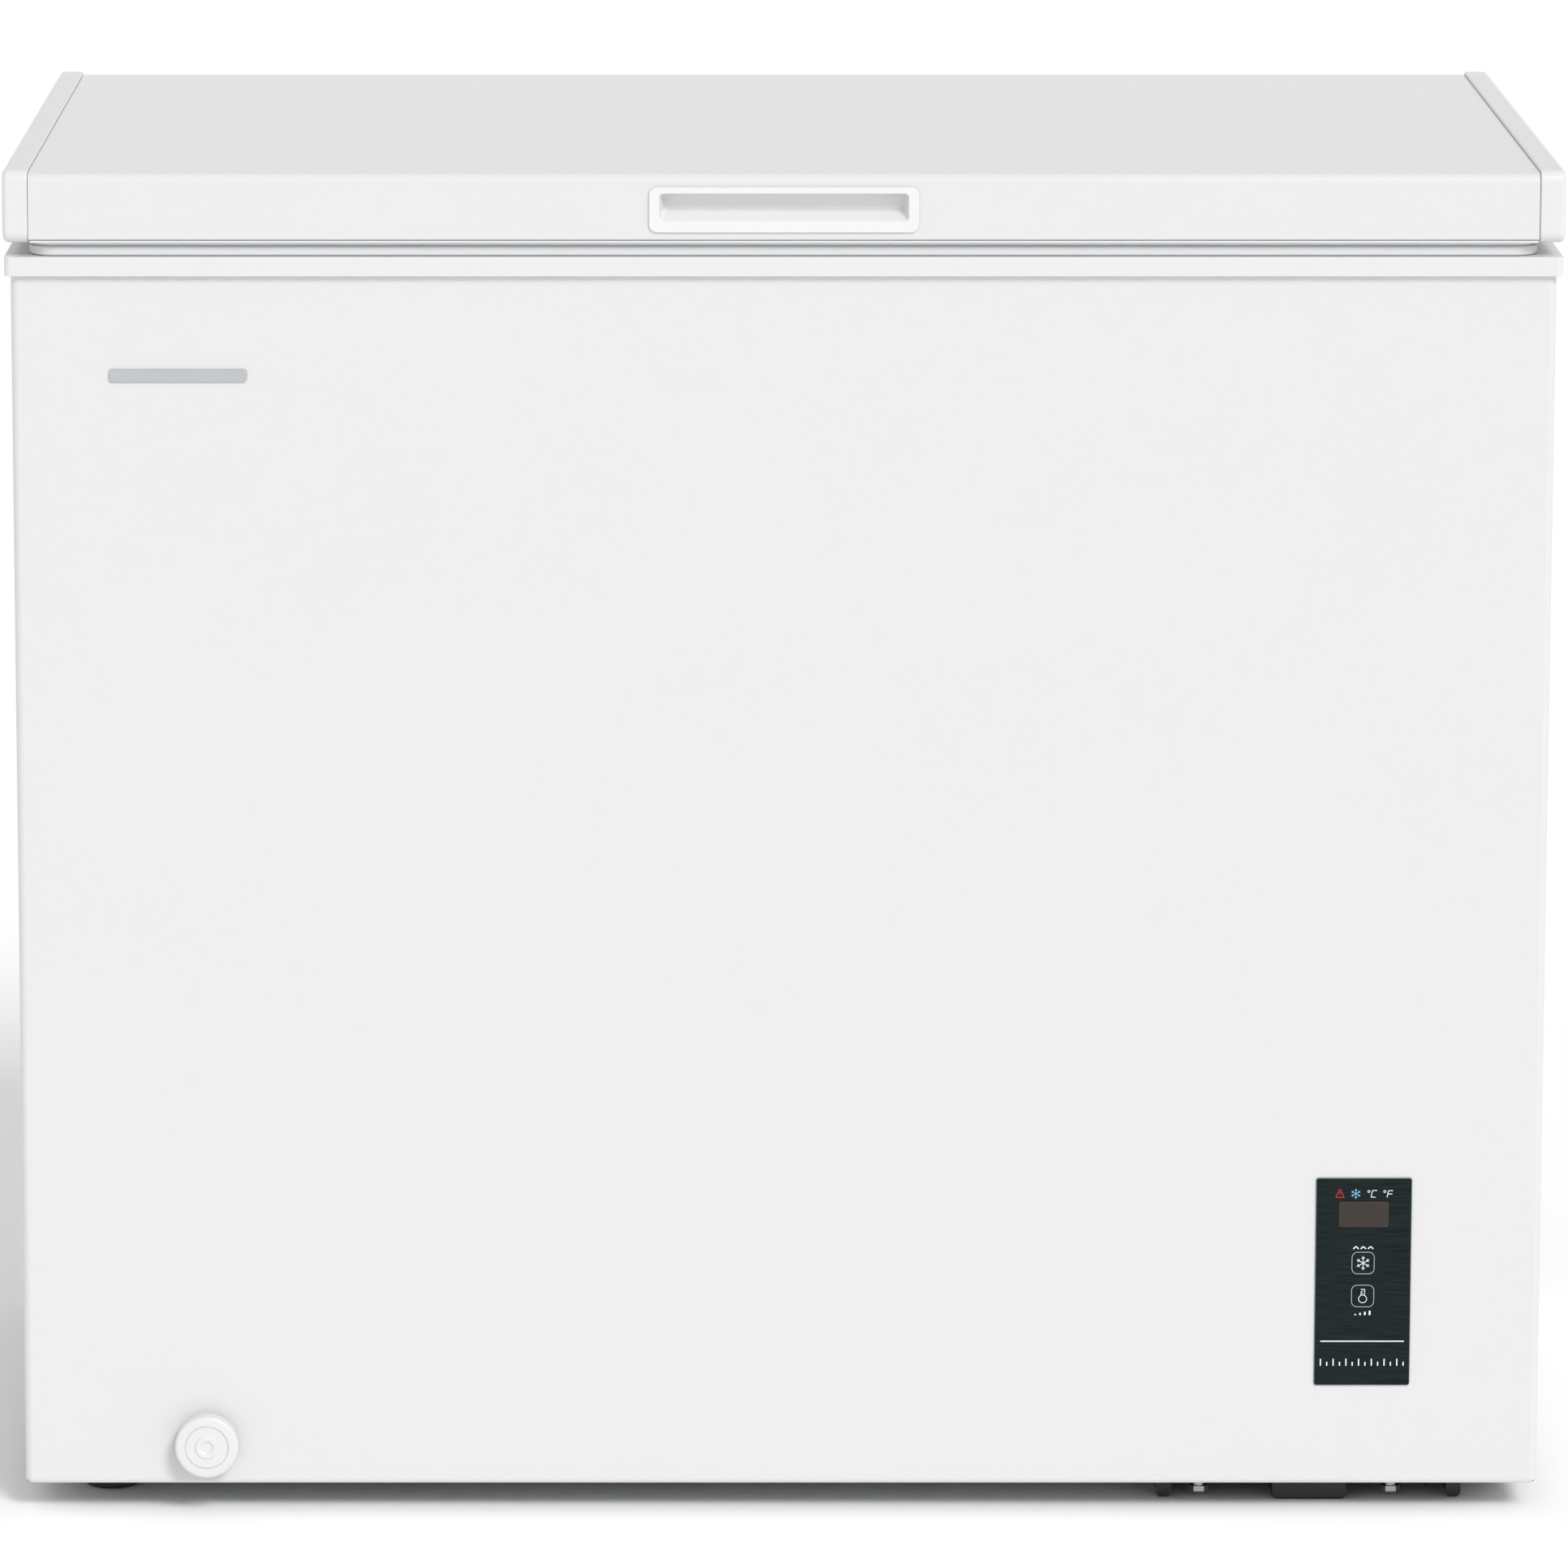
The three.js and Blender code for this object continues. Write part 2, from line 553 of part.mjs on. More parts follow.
addPiece(freezer, 'compressor_tray', cut(compressorTray(), ...trayHoles), blackSteel, [TRAY.x, 0, 0]);
addPiece(freezer, 'skid_front', skid(), blackSteel, [TRAY.x, SKID.front + SKID.depth / 2, 0]);
addPiece(freezer, 'skid_rear', skid(), blackSteel, [TRAY.x, TRAY.back - SKID.depth / 2, 0]);
addPiece(machine, 'compressor', compressor(), blackSteel);
addPiece(machine, 'relay_cover', relayCover, blackPlastic, [
  0, COMPRESSOR.radius + 4 + GAP, compressorMiddle - 27,
]);
footings().forEach(([x, y], index) => {
  const middle = (COMPRESSOR.base + TRAY.top) / 2;
  addPiece(machine, `compressor_grommet_${index + 1}`, grommet(), rubber, [x, y, middle]);
  const bolt = mountingBolt(10, COMPRESSOR.base + 12);
  addPiece(machine, `compressor_bolt_${index + 1}`, bolt, zincSteel, [x, y, 0]);
});
TRAY_BOLT.x.forEach((x, index) => {
  const bolt = mountingBolt(TRAY_BOLT.bottom, TRAY.top);
  addPiece(freezer, `tray_bolt_${index + 1}`, bolt, zincSteel, [x, TRAY_BOLT.y, 0]);
});

// Hot gas leaves the compressor for the condenser, and cold gas comes back from the evaporator.
function dischargeTube() {
  const [x, z] = [275, CONDENSER.lowest];
  return pipe(bentRoute([
    [COMPRESSOR.x - 30, COMPRESSOR.y - COMPRESSOR.radius - 3, 120],
    [COMPRESSOR.x - 30, COMPRESSOR.y - 120, 120],
    [x, COMPRESSOR.y - 120, z],
    [x, BAY.front + 15, z],
  ], 16), CONDENSER.radius);
}

function suctionTube() {
  const x = TUB.width / 2 + TUB.sheet + EVAPORATOR.radius + GAP;
  return pipe(bentRoute([
    [COMPRESSOR.x + 30, COMPRESSOR.y - COMPRESSOR.radius - 3, 120],
    [COMPRESSOR.x + 30, COMPRESSOR.y - 105, 120],
    [x, COMPRESSOR.y - 105, 120],
    [x, COMPRESSOR.y - 105, 215],
    [x, 214, 215],
    [x, 214, BAY.roof - 11],
  ], 14), EVAPORATOR.radius);
}

function filterDrier() {
  return turned([[0, -48], [2.5, -48], [2.5, -38], [9, -30], [9, 30], [2.5, 38], [2.5, 48], [0, 48]], 16);
}

addPiece(freezer, 'discharge_tube', dischargeTube(), copper);
addPiece(freezer, 'suction_tube', suctionTube(), copper);
const drierTip = 48;
addPiece(freezer, 'filter_drier', filterDrier().rotateX(Math.PI / 2), copper, [
  300, BAY.front + 15 + drierTip, CONDENSER.lowest + 40,
]);

// ---------------------------------------------------------------- feet, spacers, cord gland
[['front', -FOOT.y], ['rear', FOOT.y]].forEach(([place, y]) => {
  const { radius, top } = FOOT;
  const foot = turned([[0, 0], [radius - 2, 0], [radius, 2], [radius, 12], [radius - 6, top], [0, top]]);
  addPiece(freezer, `foot_${place}`, foot, blackPlastic, [FOOT.x, y, 0]);
});
[['left', -1], ['right', 1]].forEach(([place, sign]) => {
  const reach = SPACER.back - cabinetBack - GAP;
  const spacer = facePlate(SPACER.size, SPACER.size, 4, reach, 0);
  addPiece(freezer, `rear_spacer_${place}`, spacer, blackPlastic, [
    sign * SPACER.x, cabinetBack + GAP, SPACER.z,
  ]);
});

function cordGland() {
  const seat = cabinetBack + 2 * GAP + grilleSheet;
  const front = cabinetBack - 5;
  const flange = rod(GLAND.flange, 2, Y, 16).translate(0, seat + 1, 0);
  const sleeve = rod(GLAND.sleeve, GLAND.back - front, Y, 16).translate(0, (GLAND.back + front) / 2, 0);
  return cut(join(flange, sleeve), rod(GLAND.bore, 900, Y, 16));
}

addPiece(freezer, 'cord_gland', cordGland(), blackPlastic, [GLAND.x, 0, GLAND.z]);

// ---------------------------------------------------------------- lid
const lid = group(freezer);
const skinWidth = LID.width - 2 * CAP.width - 2 * GAP;

function handleHole(grow, yBack) {
  const width = HANDLE.mouthWidth + 2 * HANDLE.wall + 2 * grow;
  const height = HANDLE.mouthHeight + 2 * HANDLE.wall + 2 * grow;
  return facePlate(width, height, 3, yBack, lidFront - 20).translate(0, 0, HANDLE.z);
}

function lidSkin() {
  const shape = channel(LID.depth, LID.skinTop - LID.skinBottom, 2.5, LID_SHEET);
  const sheet = prism(shape, skinWidth, [Y, Z.clone().negate()], [skinWidth / 2, 0, LID.skinTop]);
  return cut(sheet, handleHole(GAP, lidFront + 5));
}

function endCap() {
  const height = LID.top - LID.bottom;
  const depth = LID.depth + 2 * CAP.proud;
  const shape = roundedRect(depth - 2 * CAP.edge, height - 2 * CAP.edge, CAP.cornerRadius - CAP.edge);
  const geometry = new THREE.ExtrudeGeometry(shape, {
    depth: CAP.width - CAP.edge,
    curveSegments: 2,
    bevelSegments: 2,
    bevelSize: CAP.edge,
    bevelThickness: CAP.edge,
  });
  geometry.applyMatrix4(new THREE.Matrix4().makeBasis(Y, Z, X));
  const flat = block(-CAP.edge - 1, 0, -400, 400, -100, 100);
  return cut(geometry, flat).translate(0, 0, (LID.top + LID.bottom) / 2);
}

function lidFoam() {
  const halfX = skinWidth / 2 - GAP;
  const halfY = LID.depth / 2 - LID_SHEET - GAP;
  const top = LID.skinTop - LID_SHEET - GAP;
  const middle = (LID.skinBottom + top) / 2;
  const section = roundedRect(2 * halfY, top - LID.skinBottom, 2, 0, middle);
  const slabFoam = prism(section, 2 * halfX, SIDE, [-halfX, 0, 0]);
  const inset = LID_LINER.sheet + GAP;
  const plug = slab(
    LID_LINER.plugWidth - 2 * inset, LID_LINER.plugDepth - 2 * inset,
    LID_LINER.plugBottom + inset, LID.skinBottom + 1, LID_LINER.cornerRadius - inset,
  );
  const pocketBack = lidFront + HANDLE.depth + HANDLE.wall + 2 * GAP;
  return cut(join(slabFoam, plug), handleHole(GAP, pocketBack));
}

function lidInnerLiner() {
  const top = LID.bottom + LID_LINER.sheet;
  const edge = slab(skinWidth - 2 * GAP, LID.depth - 2 * GAP, LID.bottom, top, 2);
  const { plugWidth, plugDepth, plugBottom, cornerRadius, sheet } = LID_LINER;
  const plug = slab(plugWidth, plugDepth, plugBottom, top, cornerRadius);
  const [hollowWidth, hollowDepth] = [plugWidth - 2 * sheet, plugDepth - 2 * sheet];
  const hollow = slab(hollowWidth, hollowDepth, plugBottom + sheet, 900, cornerRadius - sheet);
  return cut(join(edge, plug), hollow);
}

function lidGasket() {
  const [bottom, top] = [FRAME.top + GAP, LID.bottom - GAP];
  const band = 2 * GASKET.band;
  return cut(
    slab(GASKET.width, GASKET.depth, bottom, top, 14),
    slab(GASKET.width - band, GASKET.depth - band, 0, 900, 6),
  );
}

function lidHandle() {
  const { width, height, z, proud, mouthWidth, mouthHeight, depth, wall } = HANDLE;
  const rim = facePlate(width, height, 5, lidFront - GAP, lidFront - proud, 5);
  const [cupWidth, cupHeight] = [mouthWidth + 2 * wall, mouthHeight + 2 * wall];
  const cup = facePlate(cupWidth, cupHeight, 3, lidFront + depth + wall, lidFront - proud, 5);
  const recess = facePlate(mouthWidth, mouthHeight, 2.5, lidFront + depth, lidFront - proud - 5, 5);
  return cut(join(rim, cup), recess).translate(0, 0, z);
}

addPiece(lid, 'lid_skin', lidSkin(), whiteEnamel);
addPiece(lid, 'lid_end_cap_right', endCap(), whitePlastic, [LID.width / 2 - CAP.width, 0, 0]);
const leftCap = endCap().applyMatrix4(new THREE.Matrix4().makeRotationZ(Math.PI));
addPiece(lid, 'lid_end_cap_left', leftCap, whitePlastic, [-LID.width / 2 + CAP.width, 0, 0]);
addPiece(lid, 'lid_foam', lidFoam(), foam);
addPiece(lid, 'lid_inner_liner', lidInnerLiner(), whitePlastic);
addPiece(lid, 'lid_gasket', lidGasket(), gasketVinyl);
addPiece(lid, 'lid_handle', lidHandle(), whitePlastic);

// ---------------------------------------------------------------- hinges
// Lower leaf: a channel on the rear panel whose two cheeks rise past the frame to the pin.
function hingeLower() {
  const half = HINGE.width / 2;
  const [cheek, back] = [2, 5];
  const plateFront = cabinetBack + GAP - HINGE.y;
  const frameFront = FRAME.depth / 2 + 0.7 - HINGE.y;
  const under = FRAME.bottom - 3 - HINGE.z;
  const plate = block(-half, half, plateFront, plateFront + 2, -98, under);
  const cheeks = [-half, half - cheek].flatMap((x) => [
    block(x, x + cheek, plateFront, back, -98, under),
    block(x, x + cheek, frameFront, back, under - 1, 0),
    rod(HINGE.knuckleRadius, cheek, X).translate(x + cheek / 2, 0, 0),
  ]);
  return cut(join(plate, ...cheeks), rod(HINGE.pinRadius + GAP, 100, X));
}

// Upper leaf: a barrel on the pin and a plate screwed to the back of the lid.
function hingeUpper() {
  const plateFront = LID.depth / 2 + GAP - HINGE.y;
  const barrel = rod(HINGE.knuckleRadius, 16, X);
  const neck = block(-8, 8, plateFront, plateFront + 2, 2, 12);
  const plate = block(-18, 18, plateFront, plateFront + 2, 9, 44);
  return cut(join(barrel, neck, plate), rod(HINGE.pinRadius + GAP, 100, X));
}

function hingePin() {
  const half = HINGE.width / 2;
  return join(
    rod(HINGE.pinRadius, 2 * half + 3, X),
    rod(4, 1.5, X).translate(half + GAP + 0.75, 0, 0),
  );
}

// Torsion spring round the pin, with one leg down the channel.
function hingeSpring() {
  const [turns, perTurn, coil, start, pitch] = [4, 8, 4.1, 9.6, 2.1];
  const points = [];
  for (let i = 0; i <= turns * perTurn; i += 1) {
    const turn = (2 * Math.PI * i) / perTurn;
    points.push(new THREE.Vector3(
      start + (pitch * i) / perTurn, coil * Math.cos(turn), -coil * Math.sin(turn),
    ));
  }
  const end = points[points.length - 1];
  points.push(new THREE.Vector3(end.x, coil, -6), new THREE.Vector3(end.x, coil - 1, -26));
  return pipe(points, 0.8, 6);
}

[['left', -1], ['right', 1]].forEach(([place, sign]) => {
  const hinge = group(freezer, sign * HINGE.x, HINGE.y, HINGE.z);
  addPiece(hinge, `hinge_lower_${place}`, hingeLower(), zincSteel);
  addPiece(hinge, `hinge_upper_${place}`, hingeUpper(), zincSteel);
  addPiece(hinge, `hinge_pin_${place}`, hingePin(), zincSteel);
  addPiece(hinge, `hinge_spring_${place}`, hingeSpring(), zincSteel);
});

// ---------------------------------------------------------------- basket
// The outer form of the wire basket: an open tray with a hanger along its front and back.
function wireBasket() {
  const { left, right, depth, bottom, top, wall } = BASKET;
  const half = depth / 2;
  const tray = cut(
    block(left, right, -half, half, bottom, top),
    block(left + wall, right - wall, -half + wall, half - wall, bottom + wall, top + 5),
  );
  const lip = TUB.depth / 2 + FRAME_LEDGE.width - 5;
  const [seat, hangerTop] = [FRAME_LEDGE.top + GAP, FRAME_LEDGE.top + 3.3];
  const hangers = [-1, 1].flatMap((sign) => {
    const [inner, outer, tip] = [sign * (half - wall), sign * half, sign * lip];
    return [
      block(left, right, Math.min(inner, outer), Math.max(inner, outer), top - 5, hangerTop),
      block(left, right, Math.min(inner, tip), Math.max(inner, tip), seat, hangerTop),
    ];
  });
  return join(tray, ...hangers);
}

addPiece(freezer, 'wire_basket', wireBasket(), coatedWire);

export default freezer;
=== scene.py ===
# %% [markdown]
# # A white chest freezer, modelled and finished round its CAD frame
# The CAD model holds every size, joint and mount. This lesson puts the visible surfaces
# round it: bent and baked steel, moulded plastic, a soft seal, wire, print and screws.
# Each piece is placed from the CAD piece it stands for, so nothing is fitted by eye.

# %% Load the frame
import math
import bmesh
import bpy
from mathutils import Matrix, Vector


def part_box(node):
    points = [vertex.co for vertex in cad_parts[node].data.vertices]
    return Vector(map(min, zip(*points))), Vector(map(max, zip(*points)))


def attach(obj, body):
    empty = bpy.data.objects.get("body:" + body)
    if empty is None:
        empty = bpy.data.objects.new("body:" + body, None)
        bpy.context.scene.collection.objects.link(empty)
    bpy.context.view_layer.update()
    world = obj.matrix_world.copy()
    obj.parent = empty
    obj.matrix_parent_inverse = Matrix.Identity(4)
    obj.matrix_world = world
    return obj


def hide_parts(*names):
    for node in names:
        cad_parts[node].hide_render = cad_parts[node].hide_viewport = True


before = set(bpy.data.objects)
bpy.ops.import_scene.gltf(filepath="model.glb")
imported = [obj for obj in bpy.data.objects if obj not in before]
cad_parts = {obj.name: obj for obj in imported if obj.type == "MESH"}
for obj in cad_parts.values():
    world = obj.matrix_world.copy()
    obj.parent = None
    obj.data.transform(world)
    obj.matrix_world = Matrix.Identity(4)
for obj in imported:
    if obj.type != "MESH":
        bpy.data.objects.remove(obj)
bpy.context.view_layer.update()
MM = 0.001

# %% [markdown]
# ## Camera
# The camera comes first, because it says how finely a piece must be made. A long lens from
# a few metres away shows the front nearly square on, with the lid's top as a narrow band.
# The camera stands a little left of the middle and the lens slides sideways, so the front's
# edges stay level. A lens slid far down would keep the upright edges parallel, but the same
# slide is kept when the camera walks round to the other sides, so most of it is done by
# looking slightly down, from far enough away that the uprights converge very little.

# %% Camera
CAMERA_PLACE = (-0.0708, -5.857, 1.525)
CAMERA_DOWN = 10.2  # degrees below the horizon
camera_data = bpy.data.cameras.new("camera")
camera_data.lens = 210
camera_data.sensor_width = 36
camera_data.shift_x = 0.0736
camera_data.shift_y = -0.055
camera_data.clip_end = 200
camera = bpy.data.objects.new("camera", camera_data)
bpy.context.scene.collection.objects.link(camera)
camera.location = CAMERA_PLACE
camera.rotation_euler = (math.radians(90 - CAMERA_DOWN), 0, 0)
bpy.context.scene.camera = camera
bpy.context.scene.view_settings.view_transform = "Standard"
print("camera stands", round(-CAMERA_PLACE[1], 2), "m in front, looking down", CAMERA_DOWN)

# %% [markdown]
# ## Floor and light
# The freezer stands in a white room: a pale floor, a bright sky, and one large soft source
# high at the front right. It reaches the front and the lid's bend more squarely than the
# lid's top, so the front reads brighter and the bend has a soft bright line.

# %% Lamp and sky
SUN_UP, SUN_RIGHT = 39, 28  # degrees above the floor, and to the right of the front
sun_data = bpy.data.lights.new("soft_key", "SUN")
sun_data.energy = 1.78
sun_data.angle = math.radians(20)
sun = bpy.data.objects.new("soft_key", sun_data)
bpy.context.scene.collection.objects.link(sun)
sun.rotation_euler = (math.radians(90 - SUN_UP), 0, math.radians(SUN_RIGHT))
print("soft key:", SUN_UP, "degrees up,", SUN_RIGHT, "to the right")

world = bpy.data.worlds.new("white_room")
world.use_nodes = True
bpy.context.scene.world = world

# %% [markdown]
# ## Helpers for the finishes
# Colours are written as the hex values of paint charts and turned to linear light by one
# function. One more adds a node with its settings and links. Most finishes share three
# effects, each with its own real size: the colour drifts a little over a hand's width,
# the gloss varies, and a fine grain catches the light. `add_finish` gives those three.

# %% Colour and node helpers
def linear(hex_colour):
    """A paint chart's hex colour as linear red, green, blue and alpha."""
    channels = [int(hex_colour[i:i + 2], 16) / 255 for i in (1, 3, 5)]
    return (*[c / 12.92 if c <= 0.04045 else ((c + 0.055) / 1.055) ** 2.4 for c in channels], 1.0)


def add_node(tree, kind, settings=None, links=None):
    """Adds a node, gives its sockets or properties their values and joins its inputs."""
    node = tree.nodes.new(kind)
    for name, value in (settings or {}).items():
        if name in node.inputs:
            node.inputs[name].default_value = value
        else:
            setattr(node, name, value)
    for name, output in (links or {}).items():
        tree.links.new(output, node.inputs[name])
    return node


def add_finish(name, colour, roughness, metallic=0.0, tone=0.02, tone_mm=90, gloss=0.05,
               grain_mm=2.0, relief_mm=0.004, stretch=(1, 1, 1), **shader_settings):
    """A material whose colour, gloss and relief vary by noise of the given sizes in mm."""
    finish = bpy.data.materials.new(name)
    finish.use_nodes = True
    tree = finish.node_tree
    tree.nodes.clear()
    place = add_node(tree, "ShaderNodeTexCoord").outputs["Object"]
    pull = add_node(tree, "ShaderNodeMapping", {"Scale": stretch}, {"Vector": place})
    drift = add_node(tree, "ShaderNodeTexNoise", {"Scale": 1 / (tone_mm * MM), "Detail": 3.0},
                     {"Vector": place})
    grain = add_node(tree, "ShaderNodeTexNoise", {"Scale": 1 / (grain_mm * MM), "Detail": 2.0},
                     {"Vector": pull.outputs["Vector"]})
    value = add_node(tree, "ShaderNodeMapRange", {"To Min": 1 - tone, "To Max": 1 + tone},
                     {"Value": drift.outputs["Fac"]})
    tint = add_node(tree, "ShaderNodeHueSaturation", {"Color": linear(colour)},
                    {"Value": value.outputs["Result"]})
    rough = add_node(tree, "ShaderNodeMapRange",
                     {"To Min": roughness - gloss, "To Max": roughness + gloss},
                     {"Value": grain.outputs["Fac"]})
    bump = add_node(tree, "ShaderNodeBump", {"Distance": relief_mm * MM},
                    {"Height": grain.outputs["Fac"]})
    shader = add_node(tree, "ShaderNodeBsdfPrincipled", {"Metallic": metallic, **shader_settings},
                      {"Base Color": tint.outputs["Color"], "Roughness": rough.outputs["Result"],
                       "Normal": bump.outputs["Normal"]})
    add_node(tree, "ShaderNodeOutputMaterial", {}, {"Surface": shader.outputs["BSDF"]})
    return finish

# %% [markdown]
# ## Walls and ceiling
# The room's walls are brightest near the floor, so that the ground has no visible end. The
# ceiling is dimmer, which keeps the lid's top a shade darker than the front. The strength
# goes from one to the other by the height of the direction looked in.

# %% Bright walls, dimmer ceiling
WALLS, CEILING = 1.06, 0.68
room = world.node_tree
way = add_node(room, "ShaderNodeTexCoord").outputs["Generated"]
upwards = add_node(room, "ShaderNodeSeparateXYZ", {}, {"Vector": way}).outputs["Z"]
strength = add_node(room, "ShaderNodeMapRange", {"From Min": 0.1, "From Max": 0.2,
                                                 "To Min": WALLS, "To Max": CEILING},
                    {"Value": upwards})
sky = next(n for n in room.nodes if n.type == "BACKGROUND")
sky.inputs["Color"].default_value = (1.0, 1.0, 1.0, 1.0)
room.links.new(strength.outputs["Result"], sky.inputs["Strength"])
print("walls and ceiling:", WALLS, CEILING)

# %% [markdown]
# ## White finishes
# The cabinet and lid are sheet steel with baked enamel. Sprayed and stoved paint keeps a
# faint orange peel a few millimetres across, which breaks up reflections. The frame, lid
# caps and drain are injection-moulded ABS, with the fine spark texture of the mould; the
# handle uses a lighter copy of it, painted light that lifts the shade in its recess. The
# seal is soft PVC, matt; its grey is partly its own tone and partly painted shade for the
# shade under the lid's overhang.

# %% Enamel, ABS and vinyl
enamel = add_finish("baked_white_enamel", "#D6D6D7", 0.24, tone=0.008, tone_mm=140,
                    grain_mm=3.0, relief_mm=0.006, gloss=0.03)
rear_enamel = add_finish("satin_white_coil_coat", "#D6D8DB", 0.5, tone=0.012, tone_mm=160,
                         grain_mm=2.5, relief_mm=0.006, gloss=0.04)
abs_plastic = add_finish("moulded_white_abs", "#D8D8D8", 0.3, tone=0.006, tone_mm=70,
                         grain_mm=1.1, relief_mm=0.008, gloss=0.03)
# A lighter copy of the white ABS for the handle: painted light, so the shade in its recess reads
# brighter.
painted_light_abs = add_finish("moulded_bright_white_abs", "#DFDFDF", 0.3, tone=0.006, tone_mm=70,
                        grain_mm=1.1, relief_mm=0.008, gloss=0.03)
# The seal's grey is partly its own tone and partly painted shade for the shade under the lid's
# overhang.
vinyl = add_finish("soft_vinyl_with_painted_shade", "#DADCDE", 0.58, tone=0.02, tone_mm=40,
                   grain_mm=1.5, relief_mm=0.004, gloss=0.05)
wire_coat = add_finish("white_wire_coating", "#EEEFEF", 0.3, tone=0.015, tone_mm=25,
                       grain_mm=1.2, relief_mm=0.02, gloss=0.06)
print("white finishes:", len(bpy.data.materials))

# %% [markdown]
# ## Metals
# Zinc plate is a soft grey with cloudy patches where the bath left it thicker. Spring wire
# is darker and oily. The badge is drawn over a belt, so its grain runs one way in long
# hairlines. Copper tube dulls in brown clouds. A metal keeps the default IOR.

# %% Zinc, spring steel, brushed bar, copper
zinc = add_finish("zinc_plated_steel", "#B4B8BA", 0.38, 1.0, tone=0.14, tone_mm=14,
                  grain_mm=1.4, relief_mm=0.012, gloss=0.12)
spring_wire = add_finish("oiled_spring_steel", "#5C5E61", 0.32, 1.0, tone=0.18, tone_mm=5,
                         grain_mm=0.8, relief_mm=0.01, gloss=0.1)
brushed_bar = add_finish("brushed_stainless_bar", "#C3C6C9", 0.3, 1.0, tone=0.05, tone_mm=30,
                         grain_mm=0.7, relief_mm=0.012, gloss=0.1, stretch=(0.03, 1, 1))
copper = add_finish("drawn_copper_tube", "#B87352", 0.34, 1.0, tone=0.2, tone_mm=18,
                    grain_mm=1.5, relief_mm=0.01, gloss=0.12)
drawn_capsule = add_finish("drawn_steel_capsule", "#A8AAAC", 0.3, 1.0, tone=0.1, tone_mm=8,
                           grain_mm=0.8, relief_mm=0.008, gloss=0.08)
print("with the metals:", len(bpy.data.materials))

# %% [markdown]
# ## Black finishes, rubber, foam and board
# The tray, skids and compressor are stoved black: half gloss with a dusty, slightly pebbled
# skin. Black plastic is duller. Rubber is the dullest. The foam is rigid polyurethane with
# open cells about a millimetre wide where it was cut. The board is green solder mask.

# %% Dark and hidden finishes
black_paint = add_finish("stoved_black_paint", "#1D1D1E", 0.42, tone=0.3, tone_mm=30,
                         grain_mm=1.2, relief_mm=0.03, gloss=0.1)
black_plastic = add_finish("matt_black_polypropylene", "#232425", 0.56, tone=0.15, tone_mm=20,
                           grain_mm=0.9, relief_mm=0.02, gloss=0.08)
rubber = add_finish("moulded_black_rubber", "#2A2A2A", 0.78, tone=0.2, tone_mm=10,
                    grain_mm=1.0, relief_mm=0.03, gloss=0.08)
foam = add_finish("rigid_yellow_foam", "#E3D6A4", 0.92, tone=0.1, tone_mm=12,
                  grain_mm=1.2, relief_mm=0.3, gloss=0.05)
solder_mask = add_finish("green_solder_mask", "#1F5A3A", 0.35, tone=0.3, tone_mm=3,
                         grain_mm=2.0, relief_mm=0.05, gloss=0.1)

# %% [markdown]
# ## Panel finishes
# The control panel is a printed polyester film over plastic. Its ground is a very dark
# green-black with hairlines printed across it, so streaks a few centimetres long and under
# a millimetre high run sideways. The window is a smoked patch of the same film. The inks
# are screen printed: flat, opaque, with a slightly uneven edge to their gloss.

# %% Film, window and inks
film = add_finish("dark_hairline_film", "#182122", 0.34, tone=0.1, tone_mm=60,
                  grain_mm=1.0, relief_mm=0.004, gloss=0.06, stretch=(0.03, 1, 1), IOR=1.18)
film_tree = film.node_tree
film_place = next(n for n in film_tree.nodes if n.type == "MAPPING").outputs["Vector"]
hairline = add_node(film_tree, "ShaderNodeTexNoise", {"Scale": 1 / (0.8 * MM), "Detail": 1.0},
                    {"Vector": film_place})
streak = add_node(film_tree, "ShaderNodeMapRange", {"From Min": 0.36, "From Max": 0.64,
                                                 "To Min": 0.72, "To Max": 1.4},
                  {"Value": hairline.outputs["Fac"]})
film_tint = next(n for n in film_tree.nodes if n.type == "HUE_SAT")
film_tree.links.new(streak.outputs["Result"], film_tint.inputs["Value"])
window_film = add_finish("smoked_window_film", "#3C3633", 0.3, tone=0.06, tone_mm=8,
                         grain_mm=0.9, relief_mm=0.003, gloss=0.05, stretch=(0.05, 1, 1),
                         IOR=1.25)
# The fascia's cut edge in light grey: partly the edge's own tone, partly a painted highlight for the
# bevel's reflection.
film_edge_with_sheen = add_finish("film_cut_edge_and_painted_sheen", "#6E7678", 0.3, tone=0.1, tone_mm=10,
                       grain_mm=0.8, relief_mm=0.003, gloss=0.06)
white_ink = add_finish("white_screen_ink", "#F1F3F3", 0.5, tone=0.02, tone_mm=3,
                       grain_mm=0.5, relief_mm=0.003, gloss=0.05)
grey_ink = add_finish("grey_screen_ink", "#B9BDBE", 0.5, tone=0.03, tone_mm=3,
                      grain_mm=0.5, relief_mm=0.003, gloss=0.05)
blue_ink = add_finish("pale_blue_screen_ink", "#8FD0EE", 0.5, tone=0.04, tone_mm=2,
                      grain_mm=0.5, relief_mm=0.003, gloss=0.05)
red_ink = add_finish("signal_red_screen_ink", "#B4161C", 0.5, tone=0.08, tone_mm=2,
                     grain_mm=0.5, relief_mm=0.003, gloss=0.05)

# %% [markdown]
# ## Embossed aluminium
# The tub is aluminium sheet rolled between patterned cylinders. The stucco pattern has
# rounded pebbles about four millimetres across and a quarter millimetre high. Smooth
# Voronoi cells give those pebbles, and they scatter reflections into soft sparkle.

